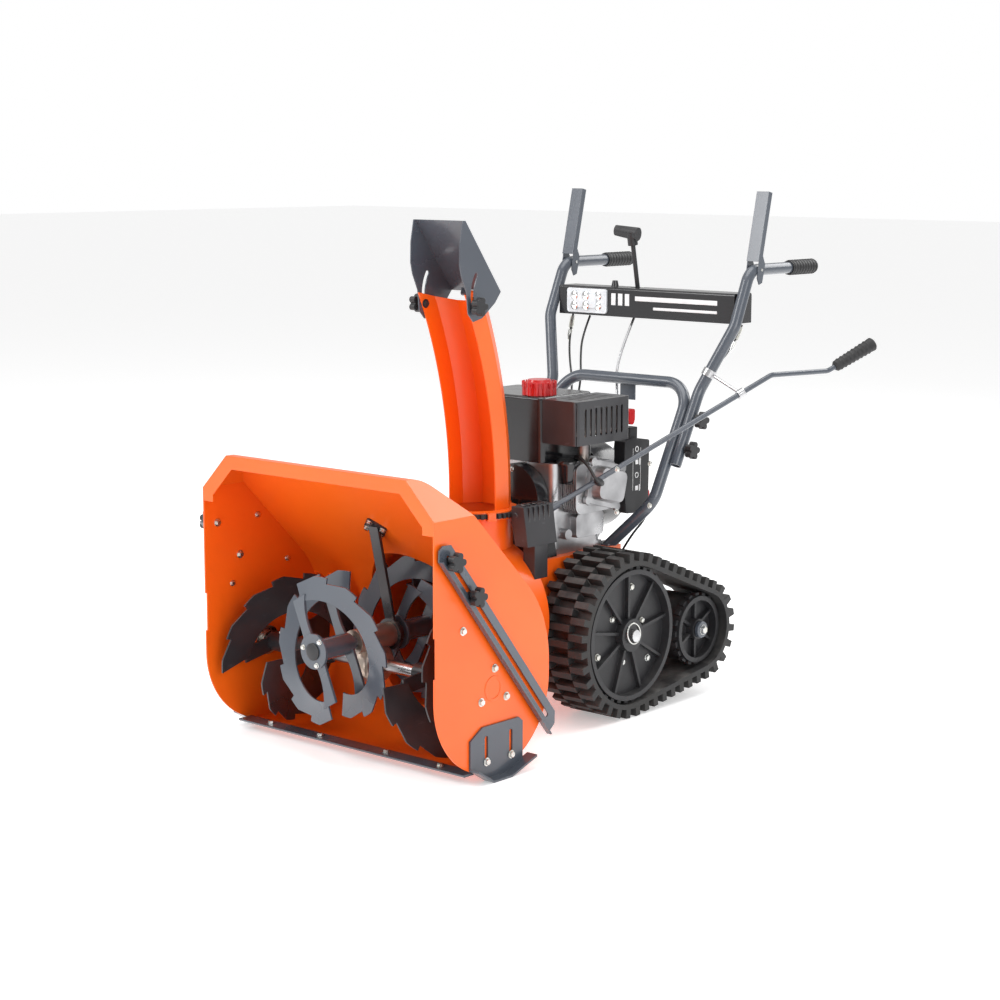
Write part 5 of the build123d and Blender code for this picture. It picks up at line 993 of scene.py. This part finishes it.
@dataclass
class Engine:
    """Small parts that finish the engine."""

    bench: Bench
    cap_rib_count: int = 28
    cover_inset: tuple[float, float] = (0.012, 0.016)
    crank_axis_z: float = 0.446
    recoil_bolt_circle: float = 0.082
    belt_cover_bolts: tuple = ((0.0, 0.505), (-0.048, 0.40), (0.048, 0.40))
    rule_offset: float = 0.013
    rule_size: Point = (0.0006, 0.0008, 0.090)
    air_guide_at: Point = (0.092, 0.478, 0.522)

    def cap_ribs(self) -> None:
        """Grip ribs round the fuel cap."""
        low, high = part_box("fuel_cap")
        centre = (low + high) / 2
        radius = (high.x - low.x) / 2 - 0.0012
        tall = (high.z - low.z) * 0.42
        ribs = []
        middle = Matrix.Translation(Vector((centre.x, centre.y, high.z - tall * 0.72)))
        for index in range(self.cap_rib_count):
            turn = middle @ Matrix.Rotation(2 * math.pi * index / self.cap_rib_count, 4, "Z")
            ribs.append(
                self.bench.block("rib", (0.003, 0.0022, tall), (radius, 0, 0), 0.0007, turn)
            )
        self.bench.finish_group("fuel_cap_ribs", ribs, Look.RED, "cap")

    def plug(self) -> None:
        """Spark plug boot on the rocker cover with its lead back into the cowl."""
        low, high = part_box("rocker_cover")
        start = (high.x + CLEAR, low.y + 0.030, (low.z + high.z) / 2 + 0.008)
        spot, normal = touch("rocker_cover", start, (-1, 0, 0))
        way = Vector((0.35, -0.85, 0.25)).normalized()
        outline = [
            (0.0055, 0.0), (0.0068, 0.002), (0.0068, 0.016), (0.0085, 0.018), (0.0085, 0.026),
            (0.0060, 0.034), (0.0030, 0.036),
        ]
        boot = self.bench.turned(
            "plug_boot", outline, Bench.frame_at(spot - normal * 0.003, way), 28
        )
        self.bench.finish(boot, Look.MOULDED, "frame")
        tip = spot + way * 0.034
        points = [
            tuple(tip), tuple(tip + way * 0.018), (tip.x - 0.012, tip.y - 0.016, tip.z + 0.032),
            (tip.x - 0.050, tip.y - 0.006, tip.z + 0.050),
            (tip.x - 0.085, tip.y + 0.030, tip.z + 0.040),
        ]
        self.bench.finish(self.bench.hose("plug_lead", points, 0.0034), Look.HOSE, "frame")

    def cover_bolts(self) -> None:
        """Bolts on the rocker cover, the recoil housing and the belt cover."""
        low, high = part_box("rocker_cover")
        in_y, in_z = self.cover_inset
        starts = [
            (high.x + CLEAR, y, z)
            for y in (low.y + in_y, high.y - in_y)
            for z in (low.z + in_z, high.z - in_z)
        ]
        bolts = self.bench.bolts_on("rocker_cover", starts, (-1, 0, 0), 0.0055)
        out_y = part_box("recoil_housing")[1].y + CLEAR
        starts = []
        for angle in (45, 135, 225, 315):
            a, circle = math.radians(angle), self.recoil_bolt_circle
            starts.append((circle * math.cos(a), out_y, self.crank_axis_z + circle * math.sin(a)))
        bolts += self.bench.bolts_on("recoil_housing", starts, (0, -1, 0), 0.0048)
        out_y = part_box("belt_cover")[0].y - CLEAR
        starts = [(x, out_y, z) for x, z in self.belt_cover_bolts]
        bolts += self.bench.bolts_on("belt_cover", starts, (0, 1, 0), 0.0050)
        self.bench.finish_group("engine_bolts", bolts, Look.ZINC, "frame")

    def box_marks(self) -> None:
        """Plain shapes and rules on the side of the control box."""
        low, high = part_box("control_box")
        middle = (low + high) / 2
        marks = []
        for index in range(4):
            z = low.z + (high.z - low.z) * (0.30 + 0.15 * index)
            place = Bench.frame_at(*touch("control_box", (high.x + CLEAR, middle.y, z), (-1, 0, 0)))
            if index % 2:
                marks.append(self.bench.ring("mark", place, 0.0052, 0.0009))
            else:
                marks.append(
                    self.bench.block(
                        "mark", (0.0095, 0.0095, 0.0008), (0, 0, 0.0002), 0.0003, place
                    )
                )
                marks.append(
                    self.bench.block(
                        "mark", (0.003, 0.014, 0.0008), (0.010, 0, 0.0002), 0.0003, place
                    )
                )
        for offset in (self.rule_offset, -self.rule_offset):
            start = (high.x + CLEAR, middle.y + offset, low.z + (high.z - low.z) * 0.52)
            spot, _ = touch("control_box", start, (-1, 0, 0))
            marks.append(self.bench.block("mark", self.rule_size, tuple(spot), 0.0002))
        self.bench.finish_group("control_box_marks", marks, Look.PRINT, "frame")

    def air_guide(self) -> None:
        """Black shroud that leads air down over the fins."""
        outline = [
            (0.0140, -0.046), (0.0200, -0.044), (0.0235, -0.036), (0.0240, -0.010),
            (0.0260, -0.006), (0.0260, 0.000),
            (0.0240, 0.003), (0.0010, 0.003),
        ]
        place = Matrix.Translation(Vector(self.air_guide_at))
        self.bench.finish(self.bench.turned("air_guide", outline, place), Look.GLOSSY, "frame")

    def hub_cover(self) -> None:
        """Round centre cover with a raised rim on the recoil starter."""
        out_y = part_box("recoil_housing")[1].y + CLEAR
        outline = [
            (0.030, 0.0), (0.0310, 0.0016), (0.0285, 0.0026), (0.0262, 0.0016), (0.0200, 0.0018),
            (0.0060, 0.0030),
            (0.0010, 0.0031),
        ]
        place = Bench.frame_at(
            *touch("recoil_housing", (0.0, out_y, self.crank_axis_z), (0, -1, 0))
        )
        cover = self.bench.turned("recoil_hub_cover", outline, place)
        self.bench.finish(cover, Look.CAST, "frame")

    def build(self) -> None:
        """Builds every engine detail."""
        self.cap_ribs()
        self.plug()
        self.cover_bolts()
        self.box_marks()
        self.air_guide()
        self.hub_cover()


@dataclass
class RunningGear:
    """Bolts, pull rings and hub caps on the track wheels."""

    bench: Bench
    axle: Point = (0.0, 0.517, 0.172)
    idler: Point = (0.0, 0.765, 0.142)
    bolt_circles: tuple = ((0.058, 0.0065, 20), (0.098, 0.0070, 80))
    bolts_each: int = 3
    hub_edge: float = 0.024
    ring_hang: float = 82.0
    pin_edge: float = 0.0145

    def wheel_bolts(self, side: str, sign: int) -> None:
        """Bolts on two pitch circles and the pull ring of the wheel clip."""
        wheel, way, out = f"drive_wheel_{side}", (-sign, 0, 0), sign * BESIDE
        _, y, z = self.axle
        bolts = []
        for radius, size, phase in self.bolt_circles:
            starts = []
            for index in range(self.bolts_each):
                a = math.radians(phase + 360 * index / self.bolts_each)
                starts.append((out, y + radius * math.cos(a), z + radius * math.sin(a)))
            bolts += self.bench.bolts_on(wheel, starts, way, size)
        self.bench.finish_group(f"wheel_bolts_{side}", bolts, Look.ZINC, "axle")
        hub, _ = touch(wheel, (out, y + self.hub_edge, z), way)
        middle = Matrix.Translation(Vector((hub.x + sign * 0.003, y, z + 0.004)))
        place = middle @ Matrix.Rotation(math.radians(self.ring_hang), 4, "Y")
        ring = self.bench.ring(f"clip_ring_{side}", place, 0.021, 0.0018)
        self.bench.finish(ring, Look.ZINC, "axle")

    def idler_cap(self, side: str, sign: int) -> None:
        """Stepped cap with a bolt over the idler's pin end."""
        outline = [
            (0.0170, -0.0065), (0.0178, -0.0060), (0.0178, 0.0008), (0.0165, 0.0018),
            (0.0110, 0.0020), (0.0100, 0.0032),
            (0.0010, 0.0033),
        ]
        start = (sign * BESIDE, self.idler[1] + self.pin_edge, self.idler[2])
        spot, _ = touch("chassis_frame", start, (-sign, 0, 0))
        place = Bench.frame_at((spot.x, self.idler[1], self.idler[2]), (sign, 0, 0))
        self.bench.finish(
            self.bench.turned(f"idler_cap_{side}", outline, place), Look.SLATE, "frame"
        )

    def build(self) -> None:
        """Builds both sides."""
        for side, sign in (("left", 1), ("right", -1)):
            self.wheel_bolts(side, sign)
            self.idler_cap(side, sign)


@dataclass
class Housing:
    """Pressed ribs and fasteners inside the auger housing."""

    bench: Bench
    inner: float = 0.157
    axis_z: float = 0.170
    rib_size: Point = (0.011, 0.0022, 0.002)
    rib_sink: float = 0.0004
    rib_sweep: float = 62.0
    rib_places: tuple = (-0.235, -0.195, 0.195, 0.235)
    bolt_places: tuple = ((-0.02, 0.43), (0.06, 0.33), (-0.09, 0.30))

    def rib(self, name: str, x: float) -> None:
        """Shallow pressed rib that follows the drum's inner wall."""
        Bench.clear()
        bpy.ops.mesh.primitive_cube_add(size=1.0)
        bpy.context.object.location = (x, self.inner - self.rib_sink, self.axis_z)
        piece = self.bench.take(name, self.rib_size)
        bpy.ops.object.mode_set(mode="EDIT")
        bpy.ops.mesh.select_all(action="DESELECT")
        bpy.ops.object.mode_set(mode="OBJECT")
        for face in piece.data.polygons:
            face.select = face.normal.z > 0.9
        bpy.ops.object.mode_set(mode="EDIT")
        bpy.ops.mesh.spin(
            steps=40, angle=math.radians(-self.rib_sweep), center=(x, 0, self.axis_z),
            axis=(1, 0, 0)
        )
        Bench.outward()
        self.bench.modify(piece, "BEVEL", width=0.0007, segments=2, limit_method="ANGLE")
        self.bench.smooth(piece)
        self.bench.finish(piece, Look.ORANGE, "frame")

    def fasteners(self) -> None:
        """Bolt tails on the inner faces of the side plates."""
        starts = [(0.0, y, z) for y, z in self.bolt_places]
        bolts = []
        for side, sign in (("left", 1), ("right", -1)):
            bolts += self.bench.bolts_on(f"side_plate_{side}", starts, (sign, 0, 0), 0.0055)
        self.bench.finish_group("housing_inner_bolts", bolts, Look.ZINC, "frame")

    def build(self) -> None:
        """Builds ribs and fasteners."""
        for index, x in enumerate(self.rib_places):
            self.rib(f"drum_rib_{index}", x)
        self.fasteners()


@dataclass
class Stages:
    """Fasteners on the augers and accelerators."""

    bench: Bench
    above_hub: float = 0.20
    hub_bolts: tuple[float, float] = (0.176, 0.262)
    impeller_axis_z: float = 0.220
    cap_bolt_circle: float = 0.027

    def auger_bolts(self) -> None:
        """Shear bolts through the auger hubs."""
        bolts = []
        for side, sign in (("left", 1), ("right", -1)):
            for x in self.hub_bolts:
                spot, _ = touch(f"auger_{side}", (sign * x, 0.0, self.above_hub), (0, 0, -1))
                bolts.append(self.bench.bolt("bolt", Bench.frame_at(spot, (0, 0, 1)), 0.0055))
        self.bench.finish_group("auger_shear_bolts", bolts, Look.ZINC, "auger_stage")

    def accelerator_caps(self) -> None:
        """Hub cap and bolts on the front accelerator."""
        front, axis_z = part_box("front_accelerator")[0].y, self.impeller_axis_z
        outline = [
            (0.0150, 0.0), (0.0165, 0.0010), (0.0165, 0.0030), (0.0130, 0.0046), (0.0010, 0.0050)
        ]
        place = Bench.frame_at((0.0, front + 0.0005, axis_z), (0, -1, 0))
        self.bench.finish(
            self.bench.turned("front_hub_cap", outline, place), Look.MOULDED, "impeller_stage"
        )
        starts = []
        for angle in (50, 170, 290):
            a, circle = math.radians(angle), self.cap_bolt_circle
            starts.append((circle * math.cos(a), front - CLEAR, axis_z + circle * math.sin(a)))
        bolts = self.bench.bolts_on("front_accelerator", starts, (0, 1, 0), 0.0048)
        self.bench.finish_group("front_hub_bolts", bolts, Look.ZINC, "impeller_stage")

    def build(self) -> None:
        """Builds both groups."""
        self.auger_bolts()
        self.accelerator_caps()


@dataclass
class Handles:
    """Raised rings on the hand grips."""

    bench: Bench
    ring_count: int = 9

    def grip_rings(self) -> None:
        """Raised rings along both hand grips."""
        low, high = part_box("hand_grips")
        radius = (high.z - low.z) / 2
        for side, sign in (("left", 1), ("right", -1)):
            x = sign * (high.x - radius)
            rings = []
            for index in range(self.ring_count):
                y = low.y + (high.y - low.y) * (index + 0.6) / (self.ring_count + 0.4)
                place = Bench.frame_at((x, y, (low.z + high.z) / 2), (0, 1, 0))
                rings.append(self.bench.ring("ring", place, radius - 0.0004, 0.0016))
            self.bench.finish_group(f"grip_rings_{side}", rings, Look.GRIP, "frame")

    def build(self) -> None:
        """Builds the handle details."""
        self.grip_rings()


def main() -> None:
    """Builds the studio, dresses the frame and adds every sub-assembly."""
    logging.basicConfig(level=logging.INFO, format="%(message)s")
    Studio().build()
    wardrobe = Wardrobe()
    wardrobe.dress_frame()
    bench = Bench(wardrobe)
    for assembly in (
        ControlLines(bench), ChuteDrive(bench), Panel(bench), Engine(bench), RunningGear(bench),
        Housing(bench), Stages(bench), Handles(bench),
    ):
        assembly.build()
    Bench.clear()


if __name__ == "__main__":
    main()
    bpy.context.view_layer.update()
